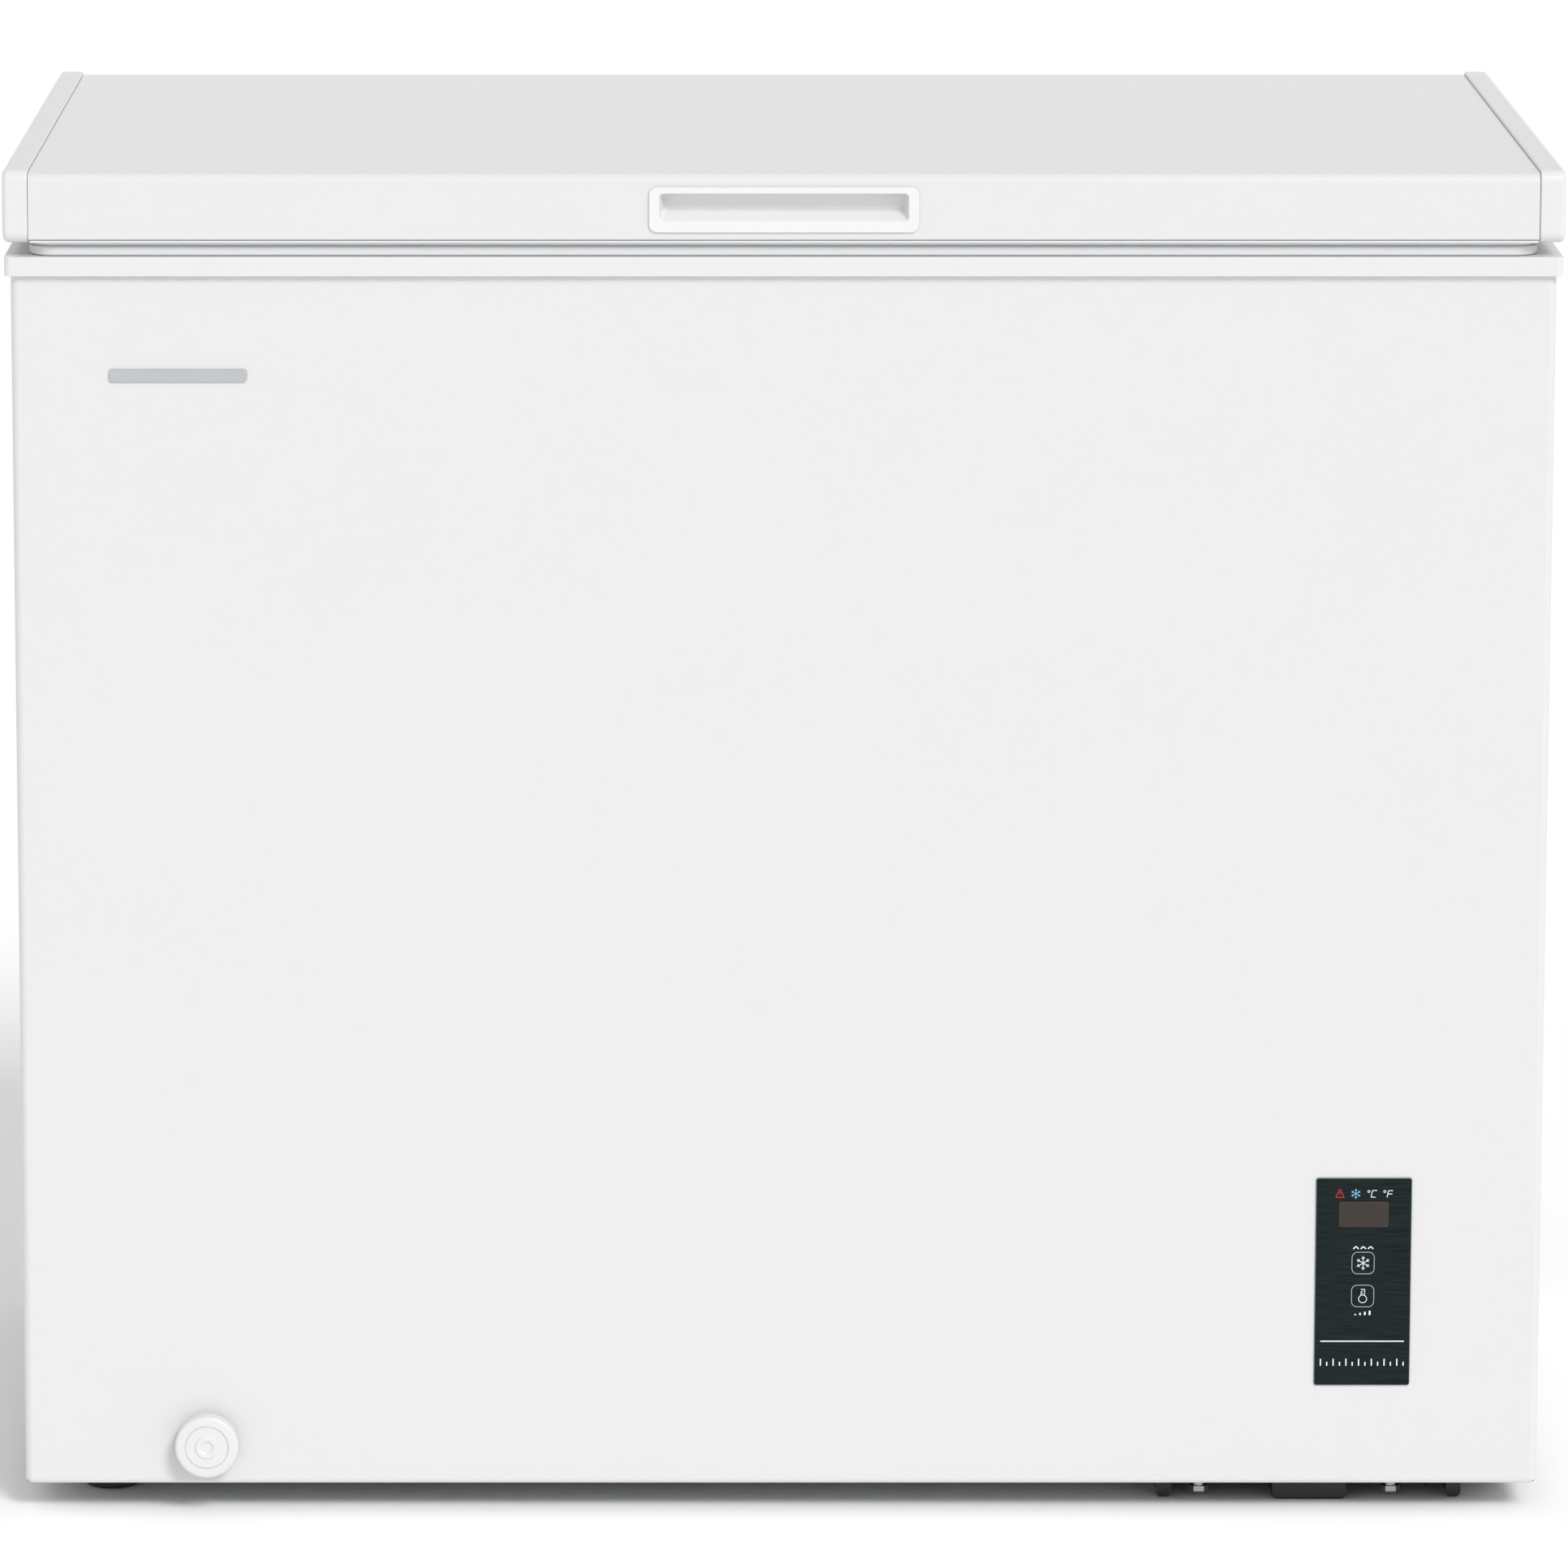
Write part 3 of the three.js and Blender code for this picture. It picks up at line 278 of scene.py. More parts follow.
# %% Stucco aluminium
stucco = add_finish("stucco_embossed_aluminium", "#E4E6E8", 0.42, 1.0, tone=0.05, tone_mm=90,
                    grain_mm=1.5, relief_mm=0.01, gloss=0.06)
stucco_tree = stucco.node_tree
stucco_place = next(n for n in stucco_tree.nodes if n.type == "TEX_COORD").outputs["Object"]
pebbles = add_node(stucco_tree, "ShaderNodeTexVoronoi",
                   {"feature": "SMOOTH_F1", "Scale": 1 / (4.5 * MM)}, {"Vector": stucco_place})
stucco_bump = next(n for n in stucco_tree.nodes if n.type == "BUMP")
emboss = add_node(stucco_tree, "ShaderNodeBump", {"Distance": 0.8 * MM},
                  {"Height": pebbles.outputs["Distance"], "Normal": stucco_bump.outputs["Normal"]})
stucco_shader = next(n for n in stucco_tree.nodes if n.type == "BSDF_PRINCIPLED")
stucco_tree.links.new(emboss.outputs["Normal"], stucco_shader.inputs["Normal"])
print("finishes made:", len(bpy.data.materials))

# %% [markdown]
# ## Floor
# A wide sheet of matt white board. It takes the soft shadow that shows the freezer stands.

# %% Floor
bpy.ops.object.select_all(action="DESELECT")
bpy.ops.mesh.primitive_plane_add(size=90, location=(0, 0, -0.0005))
floor = bpy.context.object
floor.name = "studio_floor"
floor.data.materials.append(add_finish("white_studio_floor", "#FCFCFC", 0.9, tone=0.004,
                                       tone_mm=800, grain_mm=6, relief_mm=0.02, gloss=0.02))

# %% [markdown]
# ## Modelling helpers
# Pieces are made as by hand: add a primitive, go into edit mode, pick faces, edges or
# corners, and extrude, inset, bevel or spin them. Without a window nothing can be clicked,
# so `pick` selects by a test on each part's middle and direction. Everything is deselected
# before each start, because an operator acts on all that is selected.

# %% Selecting and editing
def start_edit(piece):
    """Opens one piece in edit mode with nothing selected."""
    bpy.ops.object.select_all(action="DESELECT")
    piece.select_set(True)
    bpy.context.view_layer.objects.active = piece
    bpy.ops.object.mode_set(mode="EDIT")
    bpy.ops.mesh.select_all(action="DESELECT")


def pick(kind, test):
    """Selects the faces, edges or corners ("FACE", "EDGE", "VERT") that pass the test."""
    bpy.ops.mesh.select_mode(type=kind)
    bpy.ops.mesh.select_all(action="DESELECT")
    mesh = bmesh.from_edit_mesh(bpy.context.edit_object.data)
    if kind == "FACE":
        chosen = [f for f in mesh.faces if test(f.calc_center_median(), f.normal)]
    elif kind == "EDGE":
        chosen = [e for e in mesh.edges if test(
            (e.verts[0].co + e.verts[1].co) / 2, (e.verts[1].co - e.verts[0].co).normalized())]
    else:
        chosen = [v for v in mesh.verts if test(v.co)]
    for part in chosen:
        part.select_set(True)
    mesh.select_flush_mode()
    bmesh.update_edit_mesh(bpy.context.edit_object.data)
    return len(chosen)


def end_edit():
    """Merges doubles, turns the faces outwards and leaves edit mode."""
    bpy.ops.mesh.select_mode(type="VERT")
    bpy.ops.mesh.select_all(action="SELECT")
    bpy.ops.mesh.remove_doubles(threshold=0.01 * MM)
    bpy.ops.mesh.normals_make_consistent(inside=False)
    bpy.ops.object.mode_set(mode="OBJECT")


def pull(offset):
    """Extrudes what is picked by an offset."""
    bpy.ops.mesh.extrude_region_move(TRANSFORM_OT_translate={"value": offset})


def near(a, b, reach=0.1 * MM):
    """Whether two lengths agree to a tenth of a millimetre."""
    return abs(a - b) < reach


# %% Boxes, bevels and modifiers
def add_box(name, low, high):
    """A cube set between two corners, the start of most folded and moulded pieces."""
    low, high = Vector(low), Vector(high)
    bpy.ops.object.select_all(action="DESELECT")
    bpy.ops.mesh.primitive_cube_add(size=1, location=(low + high) / 2, scale=high - low)
    piece = bpy.context.object
    piece.name = piece.data.name = name
    bpy.ops.object.transform_apply(location=True, rotation=True, scale=True)
    return piece


def bevel_edges(width, segments, test):
    """Rounds the picked edges, in edit mode."""
    found = pick("EDGE", test)
    bpy.ops.mesh.bevel(offset=width, segments=segments, affect="EDGES")
    return found


def apply_modifier(piece, kind, **settings):
    """Adds a modifier with its settings and makes it part of the mesh."""
    bpy.ops.object.select_all(action="DESELECT")
    piece.select_set(True)
    bpy.context.view_layer.objects.active = piece
    modifier = piece.modifiers.new(kind, kind)
    for name, value in settings.items():
        setattr(modifier, name, value)
    bpy.ops.object.modifier_apply(modifier=modifier.name)


def round_edges(piece, width, segments=3, angle=40):
    """Rounds every edge sharper than an angle, as a mould or a tumbler would."""
    apply_modifier(piece, "BEVEL", width=width, segments=segments, limit_method="ANGLE",
                   angle_limit=math.radians(angle), miter_outer="MITER_ARC")


# %% Cutting, welding, joining and copying
def cut_away(piece, *cutters):
    """Cuts each cutter's shape out of a piece and throws the cutter away."""
    for cutter in cutters:
        apply_modifier(piece, "BOOLEAN", operation="DIFFERENCE", solver="EXACT", object=cutter)
        bpy.data.objects.remove(cutter)


def weld(piece, *parts):
    """Makes each part one body with the piece; the part is used up."""
    for part in parts:
        apply_modifier(piece, "BOOLEAN", operation="UNION", solver="EXACT", object=part)
        bpy.data.objects.remove(part)


def join_pieces(first, *others):
    """Puts pieces into one mesh without welding them."""
    bpy.ops.object.select_all(action="DESELECT")
    for piece in (first, *others):
        piece.select_set(True)
    bpy.context.view_layer.objects.active = first
    if others:
        bpy.ops.object.join()
    return first


def copy_piece(piece, name, offset):
    """A copy with its own mesh, moved in its mesh so that its object stays at the origin."""
    twin = piece.copy()
    twin.data = piece.data.copy()
    twin.name = twin.data.name = name
    bpy.context.scene.collection.objects.link(twin)
    twin.data.transform(Matrix.Translation(offset))
    return twin


# %% [markdown]
# Two more starts serve most of the rest. An outline is drawn corner by corner, by pulling
# one point along, and is then pulled straight, spun about an axis like work on a lathe, or
# led round a rounded rectangle like a moulding round a picture frame. With no window, spin
# turns clockwise for a positive angle, so the helpers hand it a negative one.

# %% Outlines, turned pieces and mouldings
def in_mm(pairs):
    """Turns a section drawn in millimetres into metres."""
    return [(out * MM, along * MM) for out, along in pairs]


def draw_outline(name, corners, closed=True):
    """Pulls one point from corner to corner and closes the line."""
    bpy.ops.object.select_all(action="DESELECT")
    bpy.ops.mesh.primitive_plane_add(size=1 * MM)
    piece = bpy.context.object
    piece.name = piece.data.name = name
    start_edit(piece)
    bpy.ops.mesh.select_mode(type="VERT")
    bpy.ops.mesh.select_all(action="SELECT")
    bpy.ops.mesh.merge(type="CENTER")
    bpy.ops.transform.translate(value=corners[0])
    for here, ahead in zip(corners, corners[1:]):
        pull(Vector(ahead) - Vector(here))
    bpy.ops.mesh.select_all(action="SELECT")
    if closed:
        bpy.ops.mesh.edge_face_add()
    return piece


def turn_piece(name, profile, centre, axis="Z", steps=48):
    """Spins a profile of (radius, distance along the axis) pairs into a turned piece."""
    centre = Vector(centre)
    along = {"X": Vector((1, 0, 0)), "Y": Vector((0, 1, 0)), "Z": Vector((0, 0, 1))}[axis]
    across = Vector((0, 0, 1)) if axis != "Z" else Vector((1, 0, 0))
    corners = [centre + across * radius + along * place for radius, place in profile]
    piece = draw_outline(name, corners, closed=False)
    bpy.ops.mesh.spin(steps=steps, angle=-2 * math.pi, center=centre, axis=along)
    end_edit()
    return piece


def frame_piece(name, outline, width, depth, radius, steps=6):
    """Leads an outline of (outwards, height) pairs round a rounded rectangle."""
    x, y = width / 2 - radius, depth / 2 - radius
    corners = [(x + radius + out, -y, height) for out, height in outline]
    piece = draw_outline(name, corners)
    bpy.ops.mesh.delete(type="ONLY_FACE")
    bpy.ops.mesh.select_all(action="SELECT")
    runs = [(x, y, 0, 2 * y), (-x, y, -2 * x, 0), (-x, -y, 0, -2 * y), (x, -y, 2 * x, 0)]
    for centre_x, centre_y, run_x, run_y in runs:
        pull((run_x, run_y, 0))
        bpy.ops.mesh.spin(steps=steps, angle=-math.pi / 2, center=(centre_x, centre_y, 0),
                          axis=(0, 0, 1))
    end_edit()
    return piece


def pull_outline(name, corners, offset):
    """Draws an outline, fills it and pulls it straight into a bar."""
    piece = draw_outline(name, corners)
    pull(offset)
    end_edit()
    return piece


# %% [markdown]
# A finished piece gets smooth shading with sharp folds kept, weighted normals so that wide
# flat faces stay flat beside their small rounded edges, its material, and its body.

# %% Finishing a piece
def hand_over(piece, finish, body, slot, *nodes, angle=35):
    """Shades a piece, gives it its finish, hangs it on its body and hides the CAD nodes it stands for.
    """
    bpy.ops.object.select_all(action="DESELECT")
    piece.select_set(True)
    bpy.context.view_layer.objects.active = piece
    bpy.ops.object.shade_smooth_by_angle(angle=math.radians(angle))
    apply_modifier(piece, "WEIGHTED_NORMAL", keep_sharp=True)
    piece.data.materials.clear()
    piece.data.materials.append(finish)
    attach(piece, body)
    if nodes:
        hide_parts(*nodes)
    size = [round(v / MM, 1) for v in piece.dimensions]
    print(f"{piece.name}: {len(piece.data.polygons)} faces, {size} mm, rides on {body}")
    return piece

# %% [markdown]
# ## Cabinet shell
# One sheet of steel, a millimetre thick, is bent round the front and both sides and folded
# under along its bottom edge. A box gives the outside; its top, back and floor are opened,
# the bends are rounded, and Solidify then gives the sheet its thickness inwards. The
# openings for the panel and the drain are cut last, as a punch would.

# %% Cabinet shell
shell_low, shell_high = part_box("cabinet_wrap")
SHEET = 1 * MM
BEND = 5 * MM  # outside radius of the upright bends
HEM = 14 * MM  # width of the folds under the bottom
shell = add_box("cabinet_shell", shell_low, shell_high)
start_edit(shell)
bevel_edges(BEND, 6, lambda at, way: abs(way.z) > 0.9 and at.y < 0)
pick("FACE", lambda at, normal: abs(normal.z) > 0.9 or normal.y > 0.9)
bpy.ops.mesh.delete(type="FACE")
depth, width = shell_high.y - shell_low.y, shell_high.x - shell_low.x
pick("EDGE", lambda at, way: near(at.z, shell_low.z) and abs(way.z) < 0.1)
pull((0, 0, 0))
bpy.ops.transform.resize(value=((width - 2 * HEM) / width, (depth - HEM) / depth, 1),
                         center_override=(0, shell_high.y, shell_low.z))
bevel_edges(3.5 * MM, 4, lambda at, way: near(at.z, shell_low.z) and (
    near(at.y, shell_low.y) or near(abs(at.x), shell_high.x) or (
        abs(at.x) > shell_high.x - BEND and at.y < shell_low.y + BEND
        and abs(at.x) > shell_high.x - BEND - 0.1 * MM and abs(way.x * way.y) > 0.01)))
end_edit()
apply_modifier(shell, "SOLIDIFY", thickness=SHEET, offset=-1.0)
panel_low, panel_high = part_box("control_housing")
spout_low, spout_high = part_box("drain_spout")
drain_x, drain_z = (spout_low.x + spout_high.x) / 2, (spout_low.z + spout_high.z) / 2
panel_punch = add_box("panel_punch", panel_low - Vector((0.3, 5, 0.3)) * MM,
                      panel_high + Vector((0.3, -10, 0.3)) * MM)
drain_punch = turn_piece("drain_punch", [(0, 0), (14 * MM, 0), (14 * MM, 30 * MM), (0, 30 * MM)],
                         (drain_x, shell_low.y - 15 * MM, drain_z), "Y")
cut_away(shell, panel_punch, drain_punch)
hand_over(shell, enamel, "cabinet", "white_enamel", "cabinet_wrap")

# %% [markdown]
# ## Rear and bottom panels
# The back is a flat sheet set between the sides of the shell. Long pressed beads stop it
# from drumming. A bead is a low bar with a round back, made and rounded row by row. The
# bottom sheet is plain galvanised steel with the same kind of bead.

# %% Rear panel
back_low, back_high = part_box("rear_panel")
grille_low, grille_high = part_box("rear_grille")
rear = add_box("rear_sheet", back_low + Vector((0, 0.2 * MM, 0)), back_high)
bay_mouth = add_box("bay_mouth", (grille_low.x + 4 * MM, 0, back_low.z - MM),
                    (grille_high.x - 4 * MM, 1, grille_high.z - 5 * MM))
cut_away(rear, bay_mouth)
BEAD_HEIGHT, BEAD_PROUD = 14 * MM, 1.6 * MM
beads = []
for row in range(5):
    middle = 150 * MM + row * 128 * MM
    left = back_low.x + 60 * MM
    right = (grille_low.x - 30 * MM) if row == 0 else -left
    bead = add_box(f"bead_{row}", (left, back_high.y - 0.5 * MM, middle - BEAD_HEIGHT / 2),
                   (right, back_high.y + BEAD_PROUD, middle + BEAD_HEIGHT / 2))
    start_edit(bead)
    bevel_edges(BEAD_HEIGHT / 2 - 0.1 * MM, 6, lambda at, way: abs(way.y) > 0.9)
    pick("FACE", lambda at, normal: normal.y > 0.9)
    bpy.ops.transform.resize(value=((right - left - 8 * MM) / (right - left), 1, 0.4))
    end_edit()
    beads.append(bead)
join_pieces(rear, *beads)
hand_over(rear, rear_enamel, "cabinet", "rear_steel", "rear_panel")

# %% Bottom sheet
floor_low, floor_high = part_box("bottom_panel")
LIFT = Vector((0, 0, 1.2 * MM))  # it lies on the shell's folded edge
base = add_box("bottom_sheet", floor_low + LIFT, floor_high + LIFT)
bay_hole = add_box("bay_hole", (256 * MM, -220 * MM, -1), (464 * MM, 1, 1))
cut_away(base, bay_hole)
rib = add_box("rib", (-430 * MM, -4 * MM, floor_low.z - MM), (230 * MM, 4 * MM, floor_high.z + LIFT.z))
start_edit(rib)
pick("FACE", lambda at, normal: normal.z < -0.9)
bpy.ops.transform.resize(value=(0.99, 0.45, 1))
end_edit()
ribs = [copy_piece(rib, f"rib_{i}", Vector((0, (i - 1.5) * 110 * MM, 0))) for i in range(4)]
bpy.data.objects.remove(rib)
join_pieces(base, *ribs)
round_edges(base, 0.3 * MM, 2)
hand_over(base, zinc, "cabinet", "rear_steel", "bottom_panel")

# %% [markdown]
# ## Louvred cover
# The compressor's heat leaves through a black cover with pressed louvres. Each louvre is a
# slit whose upper lip is pushed outwards as a hood. One hood is a quarter-round outline
# pulled across, closed at its ends, and the press repeats it up the sheet.

# %% Louvred cover
SLOT_PITCH, SLOT_HEIGHT, SLOT_SIDE = 14 * MM, 5 * MM, 25 * MM
cover = add_box("louvred_cover", grille_low, grille_high)
start_edit(cover)
bevel_edges(4 * MM, 4, lambda at, way: abs(way.y) > 0.9)
end_edit()
first_slot = grille_low.z + 25 * MM
slot_count = 1 + int((grille_high.z - 20 * MM - first_slot - 0.01 * MM) / SLOT_PITCH)
slits = [add_box(f"slit_{i}", (grille_low.x + SLOT_SIDE, 0, first_slot + i * SLOT_PITCH),
                 (grille_high.x - SLOT_SIDE, 1, first_slot + i * SLOT_PITCH + SLOT_HEIGHT))
         for i in range(slot_count)]
cut_away(cover, join_pieces(*slits))
gland_low, gland_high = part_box("cord_gland")
gland_x, gland_z = (gland_low.x + gland_high.x) / 2, (gland_low.z + gland_high.z) / 2
cut_away(cover, turn_piece("gland_punch", [(0, 0), (6 * MM, 0), (6 * MM, 1), (0, 1)],
                           (gland_x, 0, gland_z), "Y"))
HOOD = 4 * MM  # how far a hood stands out
arc = [math.radians(a) for a in (0, 22, 45, 68, 90)]
outer = [(HOOD * math.cos(a), 6.5 * MM * math.sin(a)) for a in arc]
inner = [((HOOD - MM) * math.cos(a), 5.7 * MM * math.sin(a)) for a in reversed(arc)]
hood_x, hood_y, hood_z = grille_low.x + SLOT_SIDE - MM, grille_high.y - 0.2 * MM, first_slot
hood = pull_outline("hood", [(hood_x, hood_y + y, hood_z + z) for y, z in outer + inner],
                    (grille_high.x - grille_low.x - 2 * SLOT_SIDE + 2 * MM, 0, 0))
cheek = draw_outline("cheek", [(hood_x, hood_y + y, hood_z + z) for y, z in [(0, 0)] + outer])
pull((MM, 0, 0))
end_edit()
cheek_shift = Vector((grille_high.x - grille_low.x - 2 * SLOT_SIDE + MM, 0, 0))
join_pieces(hood, cheek, copy_piece(cheek, "cheek_right", cheek_shift))
hoods = [copy_piece(hood, f"hood_{i}", Vector((0, 0, i * SLOT_PITCH))) for i in range(slot_count)]
bpy.data.objects.remove(hood)
join_pieces(cover, *hoods)
hand_over(cover, black_paint, "cabinet", "black_steel", "rear_grille")

# %% [markdown]
# ## Screws
# Pan-head screws hold the cover, the rear panel and the hinges. The head is turned on a
# lathe profile and its cross slot is cut with two bars. One screw is made and then copied
# to every place, each copy with its own mesh.

# %% Screws on the back
HEAD_RADIUS, HEAD_HEIGHT = 3.6 * MM, 2.0 * MM
screw = turn_piece("screw", [
    (0, -MM), (1.8 * MM, -MM), (HEAD_RADIUS, 0), (HEAD_RADIUS, 0.7 * MM), (2.9 * MM, 1.5 * MM),
    (1.6 * MM, HEAD_HEIGHT), (0, HEAD_HEIGHT)], (0, 0, 0), "Y", 24)
for name, wide, high in (("slot_a", 2.2, 0.4), ("slot_b", 0.4, 2.2)):
    cut_away(screw, add_box(name, (-wide * MM, 1.0 * MM, -high * MM), (wide * MM, 1, high * MM)))
cover_screws = [(x, grille_high.y + 0.1 * MM, z)
                for x in (grille_low.x + 9 * MM, grille_high.x - 9 * MM)
                for z in (grille_low.z + 40 * MM, grille_high.z - 9 * MM)]
panel_screws = [(side * 468 * MM, back_high.y + 0.1 * MM, z * MM)
                for side in (-1, 1) for z in (60, 300, 540, 760)]
panel_screws += [(x * MM, back_high.y + 0.1 * MM, 776 * MM) for x in (-180, 0, 180)]
print("screws on the back:", len(cover_screws) + len(panel_screws))
rear_screws = [copy_piece(screw, f"rear_screw_{i + 1}", Vector(place))
               for i, place in enumerate(cover_screws + panel_screws)]
for piece in rear_screws:
    hand_over(piece, zinc, "cabinet", "zinc_steel")

# %% [markdown]
# ## Tub
# The tub is aluminium, folded and bonded, with large round corners that wipe clean. It
# steps up over the compressor. Its side outline is drawn and pulled across the depth, the
# open top is cleared, and the corners are bevelled in two passes: first the upright ones,
# then those along the floors. Solidify gives the wall outwards, so the inside keeps its size.

# %% Tub
liner_low, liner_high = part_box("inner_liner")
TUB_WALL, FLANGE = 1.5 * MM, 16 * MM
left, right = liner_low.x + FLANGE, liner_high.x - FLANGE
front, rear_y = liner_low.y + FLANGE, liner_high.y - FLANGE
tub_floor, tub_top = liner_low.z + TUB_WALL, liner_high.z
STEP_X, STEP_FLOOR = 205 * MM, 300 * MM
tub = pull_outline("tub", [(left, front, tub_top), (left, front, tub_floor),
                           (STEP_X, front, tub_floor), (STEP_X, front, STEP_FLOOR),
                           (right, front, STEP_FLOOR), (right, front, tub_top)],
                   (0, rear_y - front, 0))
start_edit(tub)
pick("FACE", lambda at, normal: normal.z > 0.9 and near(at.z, tub_top))
bpy.ops.mesh.delete(type="ONLY_FACE")
bevel_edges(22 * MM, 8, lambda at, way: abs(way.z) > 0.9 and not near(at.x, STEP_X))
bevel_edges(10 * MM, 5, lambda at, way: at.z < STEP_FLOOR + MM and abs(way.z) < 0.1
            and not (near(at.x, STEP_X) and near(at.z, STEP_FLOOR)) and tub_top - at.z > MM)
end_edit()
start_edit(tub)
pick("EDGE", lambda at, way: near(at.z, tub_top))
pull((0, 0, 0))
rim_x = (liner_high.x - liner_low.x) / (right - left)
rim_y = (liner_high.y - liner_low.y) / (rear_y - front)
bpy.ops.transform.resize(value=(rim_x, rim_y, 1), center_override=(0, 0, tub_top))
bpy.ops.mesh.select_all(action="SELECT")
bpy.ops.mesh.flip_normals()
bpy.ops.object.mode_set(mode="OBJECT")
apply_modifier(tub, "SOLIDIFY", thickness=TUB_WALL, offset=-1.0)
drain_low, drain_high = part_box("drain_plug")
plug_x, plug_y = (drain_low.x + drain_high.x) / 2, (drain_low.y + drain_high.y) / 2
cut_away(tub, turn_piece("tub_drain_punch", [(0, -20 * MM), (8 * MM, -20 * MM), (8 * MM, 20 * MM),
                                             (0, 20 * MM)], (plug_x, plug_y, tub_floor)))
hand_over(tub, stucco, "cabinet", "aluminium_sheet", "inner_liner")

# %% [markdown]
# ## Top frame
# A moulded frame hides the edge between the shell and the tub and gives the lid's seal a
# flat seat. It stands out past the shell by a few millimetres, so a fine shadow runs under
# it. The frame starts as a block; the tub's mouth and the shallow rebate that carries the
# basket are cut through it, and every edge left is rounded by the mould.

# %% Top frame
rim_low, rim_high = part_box("top_frame")
top_frame = add_box("top_frame_moulding", rim_low, rim_high)
start_edit(top_frame)
bevel_edges(4 * MM, 6, lambda at, way: abs(way.z) > 0.9)
end_edit()
OVERHANG, LEDGE = 2 * MM, 10 * MM  # past the tub's wall, and the width of the rebate
mouth = add_box("mouth", (left + OVERHANG, front + OVERHANG, 0),
                (right - OVERHANG, rear_y - OVERHANG, 1))
start_edit(mouth)
bevel_edges(22 * MM, 8, lambda at, way: abs(way.z) > 0.9)
end_edit()
rebate = add_box("rebate", (left + OVERHANG + LEDGE, front + OVERHANG - LEDGE, rim_low.z + 3.9 * MM),
                 (right - OVERHANG - LEDGE, rear_y - OVERHANG + LEDGE, 1))
cut_away(top_frame, mouth, rebate)
round_edges(top_frame, 1.0 * MM, 3)
hand_over(top_frame, abs_plastic, "cabinet", "white_plastic", "top_frame")

# %% [markdown]
# ## Lid skin
# The lid's top, front and back are one sheet of enamelled steel, bent down at the front and
# back with round bends and folded under. Its ends are closed by the moulded caps. A box is
# opened at both ends and below, its bends rounded, and the handle's hole punched through.

# %% Lid skin
skin_low, skin_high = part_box("lid_skin")
LID_SHEET, LID_BEND, LID_HEM = 0.8 * MM, 6.5 * MM, 9 * MM
skin = add_box("lid_sheet", skin_low, skin_high)
start_edit(skin)
pick("FACE", lambda at, normal: abs(normal.x) > 0.9 or normal.z < -0.9)
bpy.ops.mesh.delete(type="FACE")
for edge_y in (skin_low.y, skin_high.y):
    pick("EDGE", lambda at, way: near(at.z, skin_low.z) and near(at.y, edge_y))
    pull((0, -LID_HEM if edge_y > 0 else LID_HEM, 0))
bevel_edges(LID_BEND, 12, lambda at, way: abs(way.x) > 0.9 and at.z > skin_high.z - MM)
bevel_edges(1.4 * MM, 3, lambda at, way: abs(way.x) > 0.9 and at.z < skin_low.z + MM
            and (near(at.y, skin_low.y) or near(at.y, skin_high.y)))
end_edit()
apply_modifier(skin, "SOLIDIFY", thickness=LID_SHEET, offset=-1.0)
handle_low, handle_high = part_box("lid_handle")
handle_middle = (handle_low + handle_high) / 2
CUP = Vector((159.6, 0, 23.6)) * MM  # the handle's cup, with its clearance
cut_away(skin, add_box("handle_punch",
                       (handle_middle.x - CUP.x / 2, -1, handle_middle.z - CUP.z / 2),
                       (handle_middle.x + CUP.x / 2, skin_low.y + 5 * MM,
                        handle_middle.z + CUP.z / 2)))
hand_over(skin, enamel, "lid", "white_enamel", "lid_skin")

# %% [markdown]
# ## Lid end caps
# A moulded cap closes each end of the lid. It stands two millimetres above the sheet and one
# in front of it, and its rounded inner edge catches a bright line along the seam. The cap is
# a block whose corners, seen from the side, are bevelled first and all its rims after.

# %% Lid end caps
for side, sign in (("left", -1), ("right", 1)):
    cap_low, cap_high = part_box(f"lid_end_cap_{side}")
    cap = add_box(f"end_cap_{side}", cap_low, cap_high)
    start_edit(cap)
    bevel_edges(7.5 * MM, 8, lambda at, way: abs(way.x) > 0.9)
    outside = cap_high.x if sign > 0 else cap_low.x
    bevel_edges(3.2 * MM, 5, lambda at, way: near(at.x, outside))
    inside = cap_low.x if sign > 0 else cap_high.x
    bevel_edges(1.1 * MM, 4, lambda at, way: near(at.x, inside))
    end_edit()
    hand_over(cap, abs_plastic, "lid", "white_plastic", f"lid_end_cap_{side}")

# %% [markdown]
# ## Recessed handle
# The handle is a moulded cup behind a raised rim. Fingers go under its top edge, so its
# floor climbs towards the back and its sides draw in, which also lets it leave the mould.
# The rim is a rounded plate, the cup a block behind it, and the hollow is cut by a tapered
# block whose far face has been made smaller and lifted.

# %% Handle
MOUTH = Vector((156, 0, 20)) * MM
RECESS, SIDE_DRAFT, FLOOR_RISE = 11 * MM, 4.5 * MM, 9.5 * MM
rim_back = skin_low.y - 0.3 * MM
handle = add_box("lid_grip", handle_low, (handle_high.x, rim_back, handle_high.z))
start_edit(handle)
bevel_edges(5 * MM, 6, lambda at, way: abs(way.y) > 0.9)
end_edit()
cup = add_box("cup", (handle_middle.x - 79.5 * MM, rim_back - 0.5 * MM, handle_middle.z - 11.5 * MM),
              (handle_middle.x + 79.5 * MM, handle_high.y, handle_middle.z + 11.5 * MM))
weld(handle, cup)
hollow_front, hollow_back = handle_low.y - 5 * MM, skin_low.y + RECESS
hollow = add_box("hollow",
                 (handle_middle.x - MOUTH.x / 2, hollow_front, handle_middle.z - MOUTH.z / 2),
                 (handle_middle.x + MOUTH.x / 2, hollow_back, handle_middle.z + MOUTH.z / 2))
start_edit(hollow)
pick("VERT", lambda at: near(at.y, hollow_back))
bpy.ops.transform.resize(value=((MOUTH.x - 2 * SIDE_DRAFT) / MOUTH.x, 1, 1))
